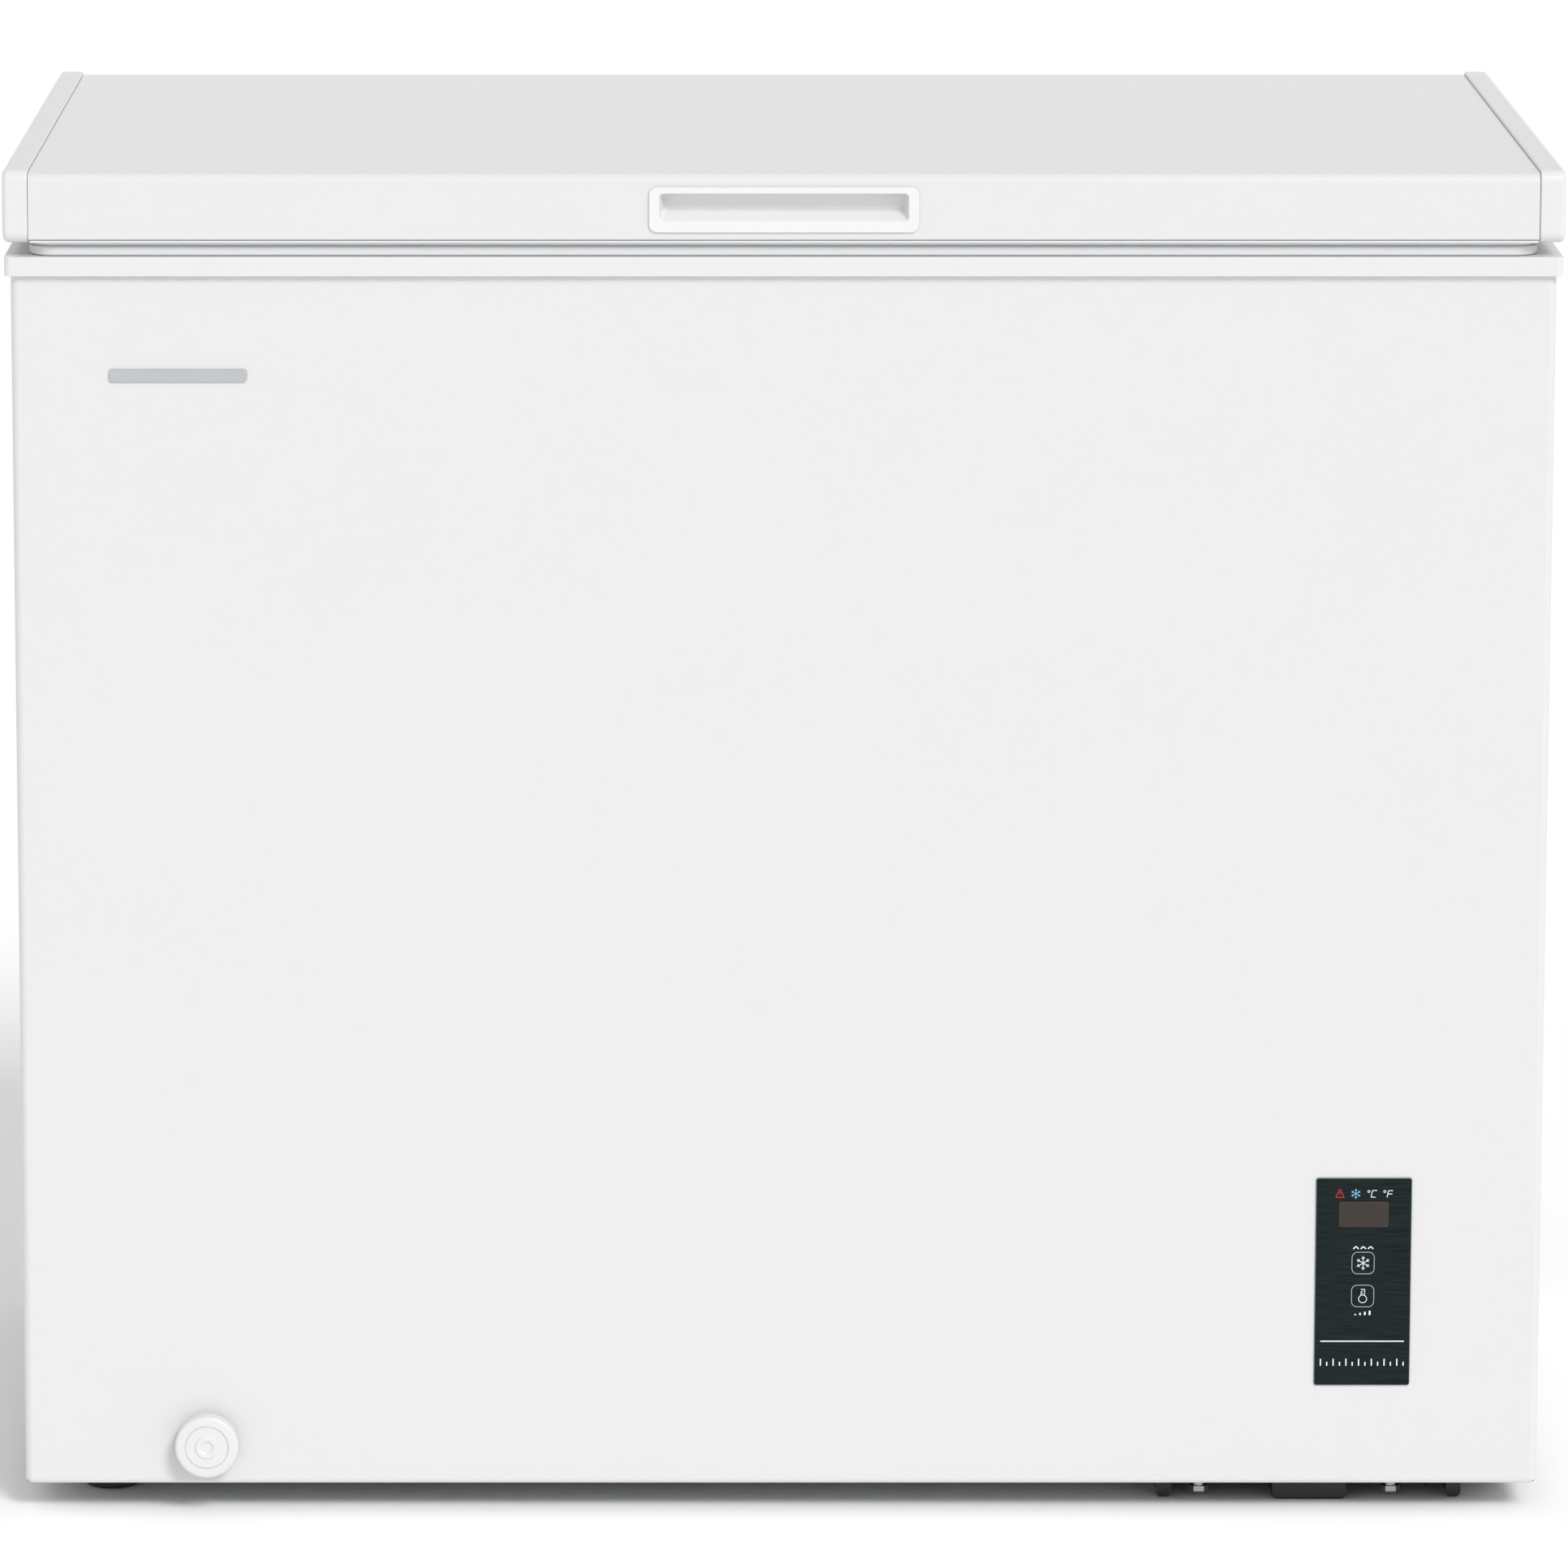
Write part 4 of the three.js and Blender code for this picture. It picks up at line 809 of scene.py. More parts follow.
pick("VERT", lambda at: near(at.y, hollow_back) and at.z < handle_middle.z)
bpy.ops.transform.translate(value=(0, 0, FLOOR_RISE))
bevel_edges(2.5 * MM, 5, lambda at, way: abs(way.y) > 0.7)
bevel_edges(1.2 * MM, 3, lambda at, way: near(at.y, hollow_back))
end_edit()
cut_away(handle, hollow)
round_edges(handle, 0.9 * MM, 3, 50)
# The handle takes the lighter ABS copy, painted light against the shade in its recess.
hand_over(handle, painted_light_abs, "lid", "white_plastic", "lid_handle")

# %% [markdown]
# ## Lid liner
# Under the lid lies a vacuum-formed panel: a rim that carries the seal, and a deep plug that
# fits into the tub, with drafted sides, generous corners and a shallow sunk field.

# %% Lid liner
edge_low, edge_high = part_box("lid_inner_liner")
plug_bottom = edge_low.z
edge_low.z = skin_low.z - 1.9 * MM
PLUG = Vector((810, 400)) * MM
BORDER, SUNK = 45 * MM, 1.1 * MM  # round the sunk field, and how deep it lies


def shrink(across):
    """Draws the picked face in by a width on all four sides of the plug."""
    bpy.ops.transform.resize(value=(1 - 2 * across / PLUG.x, 1 - 2 * across / PLUG.y, 1))


liner = add_box("lid_formed_liner", edge_low, edge_high)
start_edit(liner)
bevel_edges(2 * MM, 4, lambda at, way: abs(way.z) > 0.9)
end_edit()
plug = add_box("plug", (-PLUG.x / 2, -PLUG.y / 2, plug_bottom),
               (PLUG.x / 2, PLUG.y / 2, edge_low.z + MM))
start_edit(plug)
bevel_edges(15 * MM, 6, lambda at, way: abs(way.z) > 0.9)
pick("FACE", lambda at, normal: normal.z < -0.9)
shrink(MM)
pull((0, 0, 0))
shrink(BORDER)
pull((0, 0, SUNK))
shrink(4 * MM)
end_edit()
weld(liner, plug)
round_edges(liner, 0.9 * MM, 3, 30)
hand_over(liner, abs_plastic, "lid", "white_plastic", "lid_inner_liner")

# %% [markdown]
# ## Lid foam
# Foam is blown between the sheet and the liner and fills every corner, so its own corners
# follow the sheet's bends. It is a slab with two rounded edges, a plug below it that fills
# the liner, and a pocket at the front where the handle's cup reaches in.

# %% Lid foam
foam_low, foam_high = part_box("lid_foam")
slab_foot = skin_low.z + LID_SHEET + 0.4 * MM
lid_filling = add_box("lid_foam_block", (foam_low.x, foam_low.y, slab_foot), foam_high)
start_edit(lid_filling)
bevel_edges(LID_BEND - 0.7 * MM, 6,
            lambda at, way: abs(way.x) > 0.9 and at.z > foam_high.z - MM)
end_edit()
WALL = 1.9 * MM
core = add_box("core", (-PLUG.x / 2 + WALL, -PLUG.y / 2 + WALL, foam_low.z),
               (PLUG.x / 2 - WALL, PLUG.y / 2 - WALL, slab_foot + MM))
start_edit(core)
bevel_edges(13 * MM, 6, lambda at, way: abs(way.z) > 0.9)
end_edit()
weld(lid_filling, core)
cut_away(lid_filling, add_box("cup_pocket",
                              (handle_middle.x - CUP.x / 2, -1, handle_middle.z - CUP.z / 2),
                              (handle_middle.x + CUP.x / 2, handle_high.y + 0.3 * MM,
                               handle_middle.z + CUP.z / 2)))
hand_over(lid_filling, foam, "lid", "foam", "lid_foam")

# %% [markdown]
# ## Seal
# The seal is a soft hollow section, led round like a picture frame: a stem under the rim, a
# bellows, and a magnet strip that lies on the top frame.

# %% Seal
seal_low, seal_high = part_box("lid_gasket")
seal_size = seal_high - seal_low
top = seal_high.z
SEAL = [(-13.5, 0.0), (-1.2, 0.0), (-0.2, -0.5), (-0.5, -1.2), (-2.6, -1.7), (-2.6, -2.1),
        (-0.4, -2.6), (0.0, -3.2), (0.0, -6.8), (-0.3, -7.6), (-1.0, -8.1), (-3.0, -8.1),
        (-11.0, -8.1), (-12.6, -7.5), (-13.4, -6.2), (-13.4, -4.0), (-12.0, -2.4), (-13.2, -1.4)]
LIP = 6 * MM  # how far the soft lip reaches past the magnet strip, on each side
seal = frame_piece("lid_seal", [(out * MM, top + height * MM) for out, height in SEAL],
                   seal_size.x + 2 * LIP, seal_size.y + 2 * LIP, 16 * MM)
# The seal's darker vinyl carries painted shade for its place under the lid's overhang.
hand_over(seal, vinyl, "lid", "gasket_vinyl", "lid_gasket", angle=50)

# %% [markdown]
# ## Control panel
# The fascia is a thin moulded plate covered with dark hairline film. It stands a millimetre
# proud, with tight corners. The window and the two keys sit in their own openings with a
# hair of clearance, so the keys can be pressed.

# %% Fascia, window and keys
fascia_low, fascia_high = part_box("control_fascia")
window_low, window_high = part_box("display_window")
panel_x = (fascia_low.x + fascia_high.x) / 2
panel_z = (fascia_low.z + fascia_high.z) / 2
FILM = 0.12 * MM  # the key faces stand this far back from the fascia's


def add_plate(name, low, high, corner, rim, segments=5):
    """A flat plate that faces the front, with round corners and a softened front rim."""
    plate = add_box(name, low, high)
    start_edit(plate)
    bevel_edges(corner, segments, lambda at, way: abs(way.y) > 0.9)
    if rim:
        bevel_edges(rim, 2, lambda at, way: near(at.y, low[1]))
    end_edit()
    return plate


def grown(low, high, by):
    """A box grown by a clearance in X and Z, and made long in Y, to cut an opening."""
    reach = Vector((by, 0.05, by))
    return low - reach, high + reach


fascia = add_plate("control_fascia_plate", fascia_low, fascia_high, 1.6 * MM, 0.4 * MM)
openings = [add_plate("window_opening", *grown(window_low, window_high, 0.25 * MM), 1.75 * MM, 0)]
for node in ("super_key", "temp_key"):
    openings.append(add_plate(f"{node}_opening", *grown(*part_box(node), 0.25 * MM), 3.9 * MM, 0))
cut_away(fascia, *openings)
hand_over(fascia, film, "cabinet", "panel_film", "control_fascia")
# The side faces near the rim take the grey edge finish, partly a painted highlight for the bevel's
# reflection.
fascia.data.materials.append(film_edge_with_sheen)
for side in fascia.data.polygons:
    if side.normal.y > -0.99 and side.center.y < fascia_high.y - 0.1 * MM:
        across, up = side.center.x - panel_x, side.center.z - panel_z
        near_rim = abs(across) > 29 * MM or abs(up) > 66 * MM
        side.material_index = 1 if near_rim else 0
window = add_plate("display_lens", window_low, window_high, 1.6 * MM, 0.2 * MM)
hand_over(window, window_film, "cabinet", "smoked_window", "display_window")
for node in ("super_key", "temp_key"):
    key_low, key_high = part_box(node)
    key = add_plate(f"{node}_cap", key_low + Vector((0, FILM, 0)), key_high, 3.7 * MM, 0.25 * MM, 8)
    hand_over(key, film, node, "panel_film", node)

# %% [markdown]
# ## Print on the panel
# The marks are screen printed, but as real ink they have a little height, so each mark is a
# bar or ring a few hundredths of a millimetre thick. A bar is drawn from one point to
# another; a snowflake is one arm spun six times. Where the maker's words would stand there
# are plain signs instead: chevrons over the fast-freeze key, rising bars under the
# temperature key and a row of ticks, like a scale, under the line.

# %% Ink helpers
INK = 0.05 * MM


def ink_bar(start, end, width, face):
    """A flat bar of ink between two points on the panel, each (across, up) in mm."""
    (x0, z0), (x1, z1) = start, end
    along = Vector((x1 - x0, 0, z1 - z0)) * MM
    middle = Vector(((x0 + x1) / 2, 0, (z0 + z1) / 2)) * MM + Vector((panel_x, face, panel_z))
    reach, half = along.length / 2, width * MM / 2
    bar = add_box("ink", (-reach, -INK, -half), (reach, 0, half))
    start_edit(bar)
    bevel_edges(min(width, 0.6) * MM * 0.45, 2, lambda at, way: abs(way.y) > 0.9)
    end_edit()
    bar.data.transform(Matrix.Rotation(-math.atan2(along.z, along.x), 4, "Y"))
    bar.data.transform(Matrix.Translation(middle))
    return bar


def ink_ring(centre, outer, inner, face, steps=32):
    """A flat ring of ink; its centre is (across, up) in mm."""
    x, z = centre
    place = Vector((panel_x + x * MM, face, panel_z + z * MM))
    return turn_piece("ink", [(inner * MM, -INK), (outer * MM, -INK), (outer * MM, 0),
                              (inner * MM, 0), (inner * MM, -INK)], place, "Y", steps)


def ink_frame(centre, size, corner, width, face):
    """A rounded square of ink, drawn as a frame."""
    x, z = centre
    flat = frame_piece("ink", [(0, 0), (0, INK), (-width * MM, INK), (-width * MM, 0)],
                       size * MM, size * MM, corner * MM, 8)
    flat.data.transform(Matrix.Rotation(math.radians(90), 4, "X"))
    flat.data.transform(Matrix.Translation((panel_x + x * MM, face, panel_z + z * MM)))
    return flat


# %% Snowflakes, segment signs and printing
def snowflake(centre, radius, width, face):
    """Six arms, each with a pair of barbs, spun about the centre."""
    x, z = centre
    bars = []
    for arm in range(6):
        turn = math.radians(60 * arm)
        tip = (x + radius * math.sin(turn), z + radius * math.cos(turn))
        bars.append(ink_bar((x, z), tip, width, face))
        fork = (x + 0.6 * radius * math.sin(turn), z + 0.6 * radius * math.cos(turn))
        for lean in (-50, 50):
            way = turn + math.radians(lean)
            barb = (fork[0] + 0.3 * radius * math.sin(way), fork[1] + 0.3 * radius * math.cos(way))
            bars.append(ink_bar(fork, barb, width, face))
    return join_pieces(*bars)


def segments(centre, names, width, face):
    """A slanted seven-segment sign made of the named bars."""
    x, z = centre
    half_x, half_z, lean = 1.45, 2.15, 0.22
    spots = {"top": ((-1, 1), (1, 1)), "middle": ((-1, 0), (1, 0)), "bottom": ((-1, -1), (1, -1)),
             "upper": ((-1, 0), (-1, 1)), "lower": ((-1, -1), (-1, 0))}
    bars = []
    for name in names:
        ends = [(x + half_x * sx + lean * half_z * sz, z + half_z * sz) for sx, sz in spots[name]]
        bars.append(ink_bar(*ends, width, face))
    return join_pieces(*bars)


def print_marks(name, ink, body, slot, parts):
    """Joins marks of one ink into a piece."""
    marks = join_pieces(*parts)
    marks.name = marks.data.name = name
    return hand_over(marks, ink, body, slot)


# %% Signs on the fascia
face = fascia_low.y
print_marks("warning_sign", red_ink, "cabinet", "panel_film", [
    ink_bar(start, end, 0.5, face) for start, end in (
        ((-17.7, 54.4), (-15.05, 59.8)), ((-15.05, 59.8), (-12.4, 54.4)),
        ((-17.8, 54.4), (-12.3, 54.4)), ((-15.05, 56.3), (-15.05, 58.3)),
        ((-15.05, 55.3), (-15.05, 55.7)))])
print_marks("frost_sign", blue_ink, "cabinet", "panel_film", [snowflake((-5.1, 56.8), 3.2, 0.32, face)])
print_marks("unit_signs", white_ink, "cabinet", "panel_film", [
    ink_ring((3.0, 58.2), 0.85, 0.52, face, 16),
    segments((6.3, 56.7), ["top", "upper", "lower", "bottom"], 0.42, face),
    ink_ring((13.0, 58.2), 0.85, 0.52, face, 16),
    segments((16.3, 56.6), ["top", "upper", "lower", "middle"], 0.42, face)])
chevrons = []
for x in (-4.6, 0.0, 4.6):
    chevrons.append(ink_bar((x - 1.7, 21.2), (x, 22.9), 0.65, face))
    chevrons.append(ink_bar((x, 22.9), (x + 1.7, 21.2), 0.65, face))
print_marks("fast_freeze_sign", white_ink, "cabinet", "panel_film", chevrons)
print_marks("temperature_sign", white_ink, "cabinet", "panel_film", [
    ink_bar((x, -21.4), (x, -20.7 + 0.7 * step), 1.1, face)
    for step, x in enumerate((-4.5, -1.5, 1.5, 4.5))])
scale = [ink_bar((-26.3, -38.3), (26.3, -38.3), 0.7, face)]
for i in range(14):
    x, tip = -26 + 4 * i, -49.6 if i % 2 == 0 else -51.6
    scale.append(ink_bar((x, -54.2), (x, tip), 0.7, face))
print_marks("rule_and_scale", white_ink, "cabinet", "panel_film", scale)

# %% Signs on the keys
KEY_FRAME = 14.3
for node, sign in (("super_key", "snow"), ("temp_key", "thermometer")):
    key_low, key_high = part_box(node)
    up = ((key_low.z + key_high.z) / 2 - panel_z) / MM
    key_face = key_low.y + FILM
    print_marks(f"{node}_border", grey_ink, node, "panel_film",
                [ink_frame((0, up), KEY_FRAME, 3.6, 0.34, key_face)])
    if sign == "snow":
        print_marks("key_snowflake", white_ink, node, "panel_film",
                    [snowflake((0, up), 4.5, 0.42, key_face)])
    else:
        print_marks("key_thermometer", white_ink, node, "panel_film", [
            ink_ring((0, up - 1.9), 2.7, 2.3, key_face),
            ink_bar((-1.0, up + 0.5), (-1.0, up + 3.0), 0.38, key_face),
            ink_bar((1.2, up + 0.5), (1.2, up + 4.3), 0.38, key_face),
            ink_bar((-1.2, up + 4.3), (1.4, up + 4.3), 0.38, key_face),
            ink_bar((-1.0, up + 3.0), (0.1, up + 3.0), 0.36, key_face),
            ink_bar((-1.0, up + 1.7), (0.1, up + 1.7), 0.36, key_face)])

# %% [markdown]
# ## Badge
# The maker's script is left out. A plain bar of brushed stainless steel stands in its place,
# with rounded ends and a bright bevel round its face.

# %% Badge
badge_low, badge_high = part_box("badge_plate")
badge = add_plate("badge_bar", badge_low, badge_high, 2 * MM, 0.35 * MM)
hand_over(badge, brushed_bar, "cabinet", "brushed_metal", "badge_plate")

# %% [markdown]
# ## Drain
# Melt water leaves through a moulded spout in the front. Its knob is a turned shape: a broad
# domed rim, a ring groove and a sunk middle, with a stem that plugs the bore. Inside the tub
# a second, soft plug closes the same drain, with a bar across its dish for the fingers.

# %% Drain spout and knob
SPOUT = [(9, 0.5), (9.5, 0), (17.2, 0), (18, 0.8), (18, 3), (13.5, 3), (13.5, 14.3), (9, 14.3),
         (9, 0.5)]
spout = turn_piece("drain_spout_ring", in_mm(SPOUT), (drain_x, spout_low.y, drain_z), "Y", 64)
hand_over(spout, abs_plastic, "cabinet", "white_plastic", "drain_spout")
KNOB = [(0, 1.2), (3.2, 1.2), (4.1, 0.4), (5.0, 0), (6.6, 0), (7.5, 0.8), (12.9, 0.8), (13.2, 1.5),
        (13.7, 1.5), (14.0, 0.8), (18.0, 0.8), (19.0, 1.2), (19.7, 1.9), (20, 2.8), (20, 10.6),
        (19.6, 11.1), (18.8, 11.4), (8.4, 11.4), (8.4, 24.2), (8.0, 24.5), (0, 24.5)]
knob_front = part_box("drain_cap")[0].y
knob = turn_piece("drain_knob", in_mm(KNOB),
                  (drain_x, knob_front, drain_z), "Y", 96)
hand_over(knob, abs_plastic, "drain_cap", "white_plastic", "drain_cap")

# %% Drain plug
PLUG_SHAPE = [(0, -10), (4.6, -10), (5.2, -9.3), (5.4, 0.3), (14.4, 0.3), (15, 0.8), (15, 1.9),
              (14.5, 2.5), (12.4, 2.7), (12.1, 3.7), (11.6, 4), (10.4, 4), (9.8, 3.5),
              (9.4, 1.6), (0, 1.4)]
drain_plug = turn_piece("tub_plug", in_mm(PLUG_SHAPE),
                        (plug_x, plug_y, tub_floor), "Z", 48)
grip = add_box("grip", (plug_x - 9.6 * MM, plug_y - 1.6 * MM, tub_floor + MM),
               (plug_x + 9.6 * MM, plug_y + 1.6 * MM, tub_floor + 4 * MM))
weld(drain_plug, grip)
hand_over(drain_plug, rubber, "drain_plug", "rubber", "drain_plug", angle=45)

# %% [markdown]
# ## Compressor tray, skids and feet
# The compressor stands on a tray folded from black steel, whose two long rails are pressed
# round at the bottom so the freezer slides on a floor. The section is drawn once and pulled
# the whole depth. Two moulded skids and two turned feet carry the rest of the weight.

# %% Tray
tray_low, tray_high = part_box("compressor_tray")
TRAY_SHEET, RAIL, RAIL_ROUND = 2 * MM, 9.5 * MM, 3.2 * MM
under, rail_front = tray_high.z - TRAY_SHEET, tray_low.y + 10 * MM
quarter = [math.radians(a) for a in (0, 22.5, 45, 67.5, 90)]


def rail_bottom(x_from, x_to):
    """The round-bottomed end of a rail's section, from its outer to its inner side."""
    side = 1 if x_to > x_from else -1
    bend = [(side * RAIL_ROUND * (1 - math.cos(a)), RAIL_ROUND * (1 - math.sin(a))) for a in quarter]
    return [(x_from + x, z) for x, z in bend] + [(x_to - x, z) for x, z in reversed(bend)]


rails = []
for name, outer_x, inner_x in (("rail_left", tray_low.x, tray_low.x + RAIL),
                               ("rail_right", tray_high.x, tray_high.x - RAIL)):
    rail_top = tray_high.z - MM
    section = [(outer_x, rail_top), *rail_bottom(outer_x, inner_x), (inner_x, rail_top)]
    rails.append(pull_outline(name, [(x, rail_front, z) for x, z in section],
                              (0, tray_high.y - rail_front, 0)))
tray = add_box("folded_tray", (tray_low.x, tray_low.y, under), tray_high)
weld(tray, *rails)
bolt_places = [[(a + b) / 2 for a, b in zip(*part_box(f"compressor_bolt_{i}"))] for i in range(1, 5)]
bolt_places += [[(a + b) / 2 for a, b in zip(*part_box(f"tray_bolt_{i}"))] for i in (1, 2)]
for place in bolt_places:
    cut_away(tray, turn_piece("bolt_hole", [(0, -1), (4.3 * MM, -1), (4.3 * MM, 1), (0, 1)],
                              (place[0], place[1], 0), "Z", 24))
round_edges(tray, 0.5 * MM, 2, 50)
hand_over(tray, black_paint, "cabinet", "black_steel", "compressor_tray")

# %% Tray screws
BOLT_HEAD = [(0, 0), (5.6, 0), (6.5, 0.8), (6.5, 4), (0, 4)]
BOLT_SHANK = [(0, 3), (4, 3), (4, 12.6), (3.4, 13.2), (0, 13.2)]
for i in (1, 2):
    low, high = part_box(f"tray_bolt_{i}")
    centre = ((low.x + high.x) / 2, (low.y + high.y) / 2, low.z)
    bolt = turn_piece(f"tray_screw_{i}", in_mm(BOLT_HEAD), centre, "Z", 6)
    shank = turn_piece("shank", in_mm(BOLT_SHANK), centre, "Z", 24)
    weld(bolt, shank)
    hand_over(bolt, zinc, "cabinet", "zinc_steel", f"tray_bolt_{i}")

# %% Skids and feet
for place in ("front", "rear"):
    skid_low, skid_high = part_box(f"skid_{place}")
    skid = add_box(f"glide_{place}", skid_low, skid_high)
    start_edit(skid)
    bevel_edges(4 * MM, 5, lambda at, way: abs(way.y) > 0.9)
    end_edit()
    round_edges(skid, 1.2 * MM, 3)
    hand_over(skid, black_plastic, "cabinet", "black_plastic", f"skid_{place}")
FOOT = [(0, 0.6), (9, 0.6), (9.6, 0), (15.6, 0), (17, 0.5), (18, 1.8), (18, 4.2), (17.4, 4.8),
        (17.4, 6.4), (18, 7), (18, 11.4), (17.5, 12.4), (12.6, 16.2), (12, 16.7), (0, 16.7)]
for place in ("front", "rear"):
    low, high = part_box(f"foot_{place}")
    middle = (low + high) / 2
    foot = turn_piece(f"turned_foot_{place}", in_mm(FOOT),
                      (middle.x, middle.y, 0), "Z", 48)
    hand_over(foot, black_plastic, "cabinet", "black_plastic", f"foot_{place}")

# %% [markdown]
# ## Rear spacers and cord gland
# Two moulded blocks hold the freezer off the wall so that air can rise. They are cored out
# with a grid of walls, as thick lumps of plastic would sink while cooling. The cord leaves
# through a flanged gland, turned like a bush.

# %% Spacers
for side in ("left", "right"):
    low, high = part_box(f"rear_spacer_{side}")
    spacer = add_box(f"wall_spacer_{side}", low, high)
    start_edit(spacer)
    bevel_edges(4 * MM, 5, lambda at, way: abs(way.y) > 0.9)
    end_edit()
    middle = (low + high) / 2
    for sign_x in (-1, 1):
        for sign_z in (-1, 1):
            corner = Vector((middle.x + sign_x * 5.6 * MM, 0, middle.z + sign_z * 5.6 * MM))
            pocket = add_box("pocket", (corner.x - 4.4 * MM, high.y - 11 * MM, corner.z - 4.4 * MM),
                             (corner.x + 4.4 * MM, high.y + 5 * MM, corner.z + 4.4 * MM))
            start_edit(pocket)
            bevel_edges(1.4 * MM, 3, lambda at, way: abs(way.y) > 0.9)
            end_edit()
            cut_away(spacer, pocket)
    round_edges(spacer, 0.5 * MM, 2)
    hand_over(spacer, black_plastic, "cabinet", "black_plastic", f"rear_spacer_{side}")

# %% Cord gland
GLAND = [(3.6, 0.4), (4.0, 0), (5.3, 0), (5.7, 0.4), (5.7, 7.1), (8.6, 7.1), (9, 7.5), (9, 8.7),
         (8.4, 9.3), (7.2, 9.9), (6.8, 14.2), (6.0, 16.6), (5.2, 17), (3.9, 17), (3.6, 16.7),
         (3.6, 0.4)]
gland = turn_piece("cord_bush", in_mm(GLAND),
                   (gland_x, gland_low.y, gland_z), "Y", 40)
hand_over(gland, black_plastic, "cabinet", "black_plastic", "cord_gland")

# %% [markdown]
# ## Hinges
# Each hinge is a lower channel screwed to the back, an upper leaf screwed to the lid, a pin
# through both, and a coil spring on the pin that holds the lid open. The channel's cheeks
# are one outline, seen from the side, pulled through the sheet's thickness; they rise past
# the frame and end round the pin. The right set is made and the left is its copy.

# %% Right hinge
HINGE_X, PIN_Y, PIN_Z, KNUCKLE = 300 * MM, 281.5 * MM, 798 * MM, 5 * MM
low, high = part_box("hinge_lower_right")
HINGE_SHEET = 2 * MM


def cheek_outline(x):
    """The side of the lower leaf: straight up, a step past the frame, then round the pin."""
    round_end = [(PIN_Y + KNUCKLE * math.cos(a), PIN_Z + KNUCKLE * math.sin(a))
                 for a in (math.radians(d) for d in range(0, 181, 15))]
    wide = [(low.y, low.z + 3 * MM), (low.y + 3 * MM, low.z), (high.y - 3 * MM, low.z),
            (high.y, low.z + 3 * MM), (high.y, PIN_Z)]
    back = [(277.2 * MM, PIN_Z), (277.2 * MM, 780.1 * MM), (low.y, 780.1 * MM)]
    spots = wide + round_end[1:-1] + back
    return [(x, y, z) for y, z in spots]


plate = add_box("lower_leaf_right", (low.x, low.y, low.z), (high.x, low.y + HINGE_SHEET, 781 * MM))
for x in (low.x, high.x - HINGE_SHEET):
    cheek = pull_outline("cheek", cheek_outline(x), (HINGE_SHEET, 0, 0))
    weld(plate, cheek)
pin_bore = [(0, -1), (2.8 * MM, -1), (2.8 * MM, 1), (0, 1)]
cut_away(plate, turn_piece("pin_bore", pin_bore, (0, PIN_Y, PIN_Z), "X", 32))
round_edges(plate, 0.4 * MM, 2, 50)

# %% Upper leaf
BARREL = [(2.8, -8), (4.7, -8), (5, -7.7), (5, 7.7), (4.7, 8), (2.8, 8), (2.8, -8)]
LEAF_FRONT, LEAF_BACK = 278.3 * MM, 280.3 * MM
leaf = turn_piece("upper_leaf_right", in_mm(BARREL), (HINGE_X, PIN_Y, PIN_Z), "X", 32)
neck = add_box("neck", (HINGE_X - 8 * MM, LEAF_FRONT, PIN_Z + 3.2 * MM),
               (HINGE_X + 8 * MM, LEAF_BACK, 812 * MM))
weld(leaf, neck)
upper = add_box("upper_plate", (HINGE_X - 18 * MM, LEAF_FRONT, 807 * MM),
                (HINGE_X + 18 * MM, LEAF_BACK, 842 * MM))
start_edit(upper)
bevel_edges(4 * MM, 5, lambda at, way: abs(way.y) > 0.9)
end_edit()
weld(leaf, upper)
round_edges(leaf, 0.35 * MM, 2, 50)

# %% Pin and hinge screws
pin_low, pin_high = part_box("hinge_pin_right")
head_start = pin_high.x - pin_low.x - 1.5 * MM
pin = turn_piece("pin_right", [(0, 0), (2.1 * MM, 0), (2.5 * MM, 0.4 * MM), (2.5 * MM, head_start),
                               (4 * MM, head_start), (4 * MM, head_start + 0.9 * MM),
                               (3.4 * MM, head_start + 1.5 * MM), (0, head_start + 1.5 * MM)],
                 (pin_low.x, PIN_Y, PIN_Z), "X", 32)


def hinge_screws(name, across, heights, y):
    """Four copies of the screw, in two rows, at a distance either side of the hinge."""
    places = [(HINGE_X + x * MM, y, z * MM) for z in heights for x in (-across, across)]
    return [copy_piece(screw, f"{name}_{i}", Vector(at)) for i, at in enumerate(places)]


screws_lower = hinge_screws("hinge_screw_right", 12, (715, 750), low.y + HINGE_SHEET + 0.1 * MM)
screws_upper = hinge_screws("lid_screw_right", 11, (816, 834), LEAF_BACK + 0.1 * MM)
bpy.data.objects.remove(screw)

# %% [markdown]
# The left hinge is the right one copied across, each piece with its own mesh.

# %% Both hinges
APART = Vector((-600 * MM, 0, 0))
for piece, body, node in ((plate, "cabinet", "hinge_lower"), (leaf, "lid", "hinge_upper"),
                          (pin, "cabinet", "hinge_pin")):
    twin = copy_piece(piece, piece.name.replace("right", "left"), APART)
    hand_over(piece, zinc, body, "zinc_steel", f"{node}_right")
    hand_over(twin, zinc, body, "zinc_steel", f"{node}_left")
for group, body in ((screws_lower, "cabinet"), (screws_upper, "lid")):
    for piece in group:
        twin = copy_piece(piece, piece.name.replace("right", "left"), APART)
        hand_over(piece, zinc, body, "zinc_steel")
        hand_over(twin, zinc, body, "zinc_steel")

# %% [markdown]
# ## Wire basket
# The basket is welded from steel wire dipped in white vinyl. U-shaped wires run across and
# along, welded to rings at three heights, and a heavier wire at front and back hooks onto the
# frame's rebate. A wire is a round section swept along a line: a curve with a bevel, made a
# mesh and joined. Each wire is bent on its own, one after another along the basket.

# %% Bending a wire
basket_low, basket_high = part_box("wire_basket")
WIRE, HEAVY = 1.6 * MM, 2.2 * MM  # radii of the thin and the heavy wires, with their coating
BEND_IN = 14 * MM


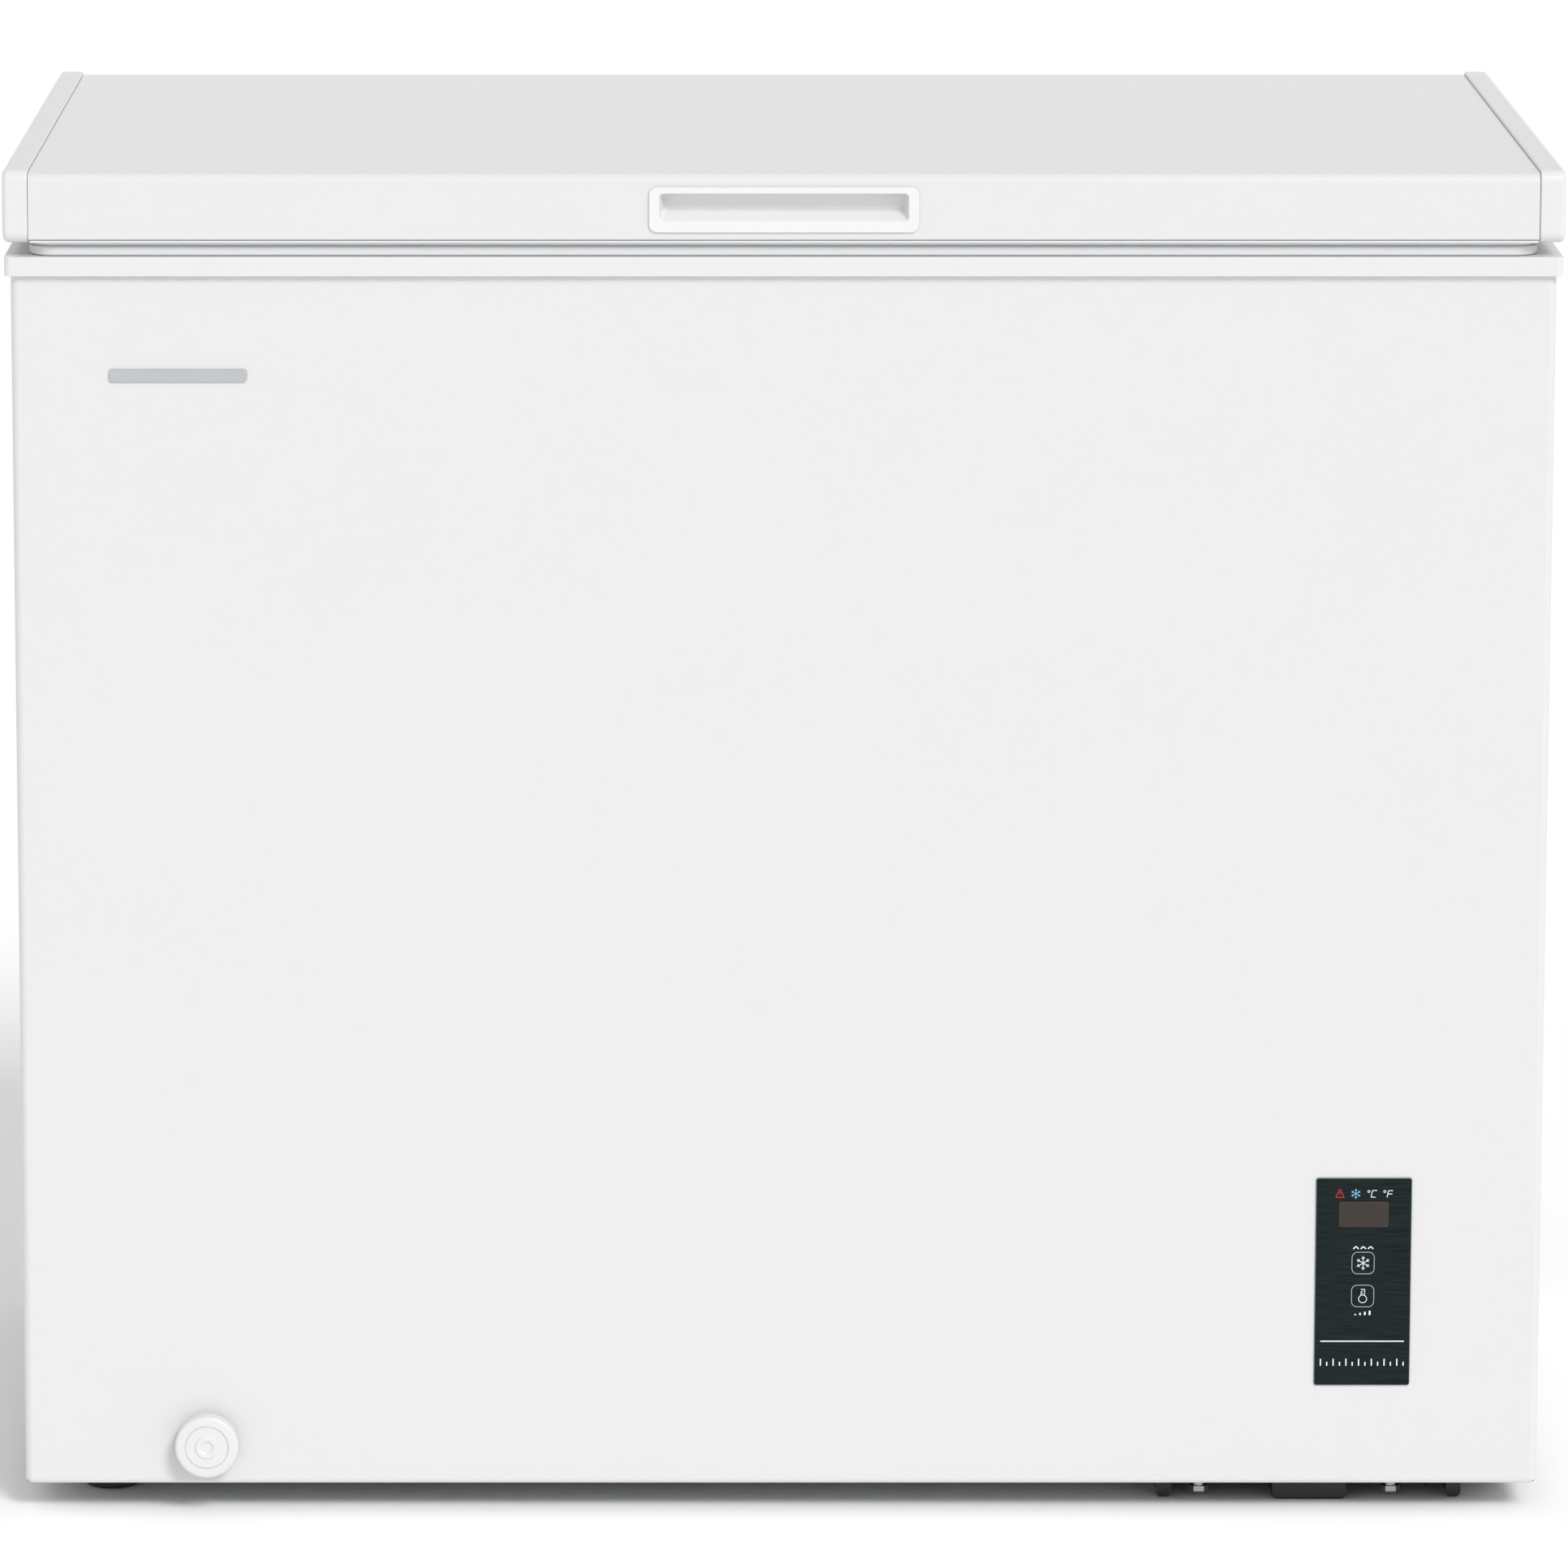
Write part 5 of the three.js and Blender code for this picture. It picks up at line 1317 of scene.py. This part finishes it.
def bend_wire(name, corners, radius, bend, closed=False):
    """A wire through the corners, with round bends, as a mesh."""
    points = []
    count = len(corners)
    for i, corner in enumerate(corners):
        here = Vector(corner)
        if not closed and i in (0, count - 1):
            points.append(here)
            continue
        before = (Vector(corners[i - 1]) - here).normalized()
        after = (Vector(corners[(i + 1) % count]) - here).normalized()
        start, end = here + before * bend, here + after * bend
        for step in range(5):
            t = step / 4
            points.append(start * (1 - t) ** 2 + here * 2 * t * (1 - t) + end * t ** 2)
    curve = bpy.data.curves.new(name, "CURVE")
    curve.dimensions = "3D"
    line = curve.splines.new("POLY")
    line.points.add(len(points) - 1)
    for point, place in zip(line.points, points):
        point.co = (*place, 1)
    line.use_cyclic_u = closed
    curve.bevel_depth, curve.bevel_resolution, curve.use_fill_caps = radius, 2, not closed
    holder = bpy.data.objects.new(name, curve)
    bpy.context.scene.collection.objects.link(holder)
    bpy.ops.object.select_all(action="DESELECT")
    holder.select_set(True)
    bpy.context.view_layer.objects.active = holder
    bpy.ops.object.convert(target="MESH")
    return bpy.context.object


# %% Basket
left_wire, right_wire = basket_low.x + HEAVY, basket_high.x - HEAVY
side_wire = 206 * MM - HEAVY
bottom_wire, top_wire = basket_low.z + HEAVY, 782 * MM - HEAVY
wires = []
for height, radius in ((bottom_wire + 2 * WIRE, WIRE), ((bottom_wire + top_wire) / 2, WIRE),
                       (top_wire, HEAVY)):
    ring = [(left_wire, -side_wire, height), (right_wire, -side_wire, height),
            (right_wire, side_wire, height), (left_wire, side_wire, height)]
    wires.append(bend_wire("ring", ring, radius, 18 * MM, closed=True))
ACROSS, ALONG = 15, 7  # how many wires run each way
for i in range(ACROSS):
    y = -side_wire + 26 * MM + i * (2 * side_wire - 52 * MM) / (ACROSS - 1)
    start_x, end_x = left_wire + 2 * WIRE, right_wire - 2 * WIRE
    trough = [(start_x, y, top_wire), (start_x, y, bottom_wire),
              (end_x, y, bottom_wire), (end_x, y, top_wire)]
    wires.append(bend_wire("across", trough, WIRE, BEND_IN))
for i in range(ALONG):
    x = left_wire + 24 * MM + i * (right_wire - left_wire - 48 * MM) / (ALONG - 1)
    end_y, lower = side_wire - 2 * WIRE, bottom_wire + 2 * WIRE
    trough = [(x, -end_y, top_wire), (x, -end_y, lower), (x, end_y, lower), (x, end_y, top_wire)]
    wires.append(bend_wire("along", trough, WIRE, BEND_IN))
LEDGE_AT = 218 * MM  # where the hangers lie on the rebate, either side of the middle
seat_z = 788.5 * MM + HEAVY * 0.55
for sign in (-1, 1):
    start_x, end_x = left_wire + 20 * MM, right_wire - 20 * MM
    root, bend_y, rest_y = sign * side_wire, sign * (side_wire + 0.2 * MM), sign * LEDGE_AT
    hook = [(start_x, root, top_wire), (start_x, bend_y, seat_z), (start_x, rest_y, seat_z),
            (end_x, rest_y, seat_z), (end_x, bend_y, seat_z), (end_x, root, top_wire)]
    wires.append(bend_wire("hanger", hook, 1.2 * MM, 3 * MM))
basket = join_pieces(*wires)
basket.name = basket.data.name = "coated_wire_basket"
hand_over(basket, wire_coat, "basket", "coated_wire", "wire_basket", angle=60)
print("basket of", len(wires), "wires")

# %% [markdown]
# ## Pieces kept from the plan
# The cabinet's foam, coils, pipes, compressor and small fixings lie inside or under it. Their
# plain shapes are right already, so each only receives the finish of its real material.

# %% Finishes for the hidden pieces
kept = {
    foam: ["cabinet_foam"],
    copper: ["evaporator_coil", "condenser_coil", "discharge_tube", "suction_tube", "filter_drier"],
    drawn_capsule: ["temperature_sensor"],
    black_plastic: ["control_housing", "relay_cover"],
    solder_mask: ["control_board"],
    abs_plastic: ["drain_tube"],
    black_paint: ["compressor"],
    rubber: [f"compressor_grommet_{i}" for i in range(1, 5)],
    zinc: [f"compressor_bolt_{i}" for i in range(1, 5)],
    spring_wire: ["hinge_spring_left", "hinge_spring_right"],
}
dressed = 0
for finish, nodes in kept.items():
    for node in nodes:
        for slot in bpy.data.objects[node].material_slots:
            slot.material = finish
        dressed += 1
print("hidden pieces dressed:", dressed)
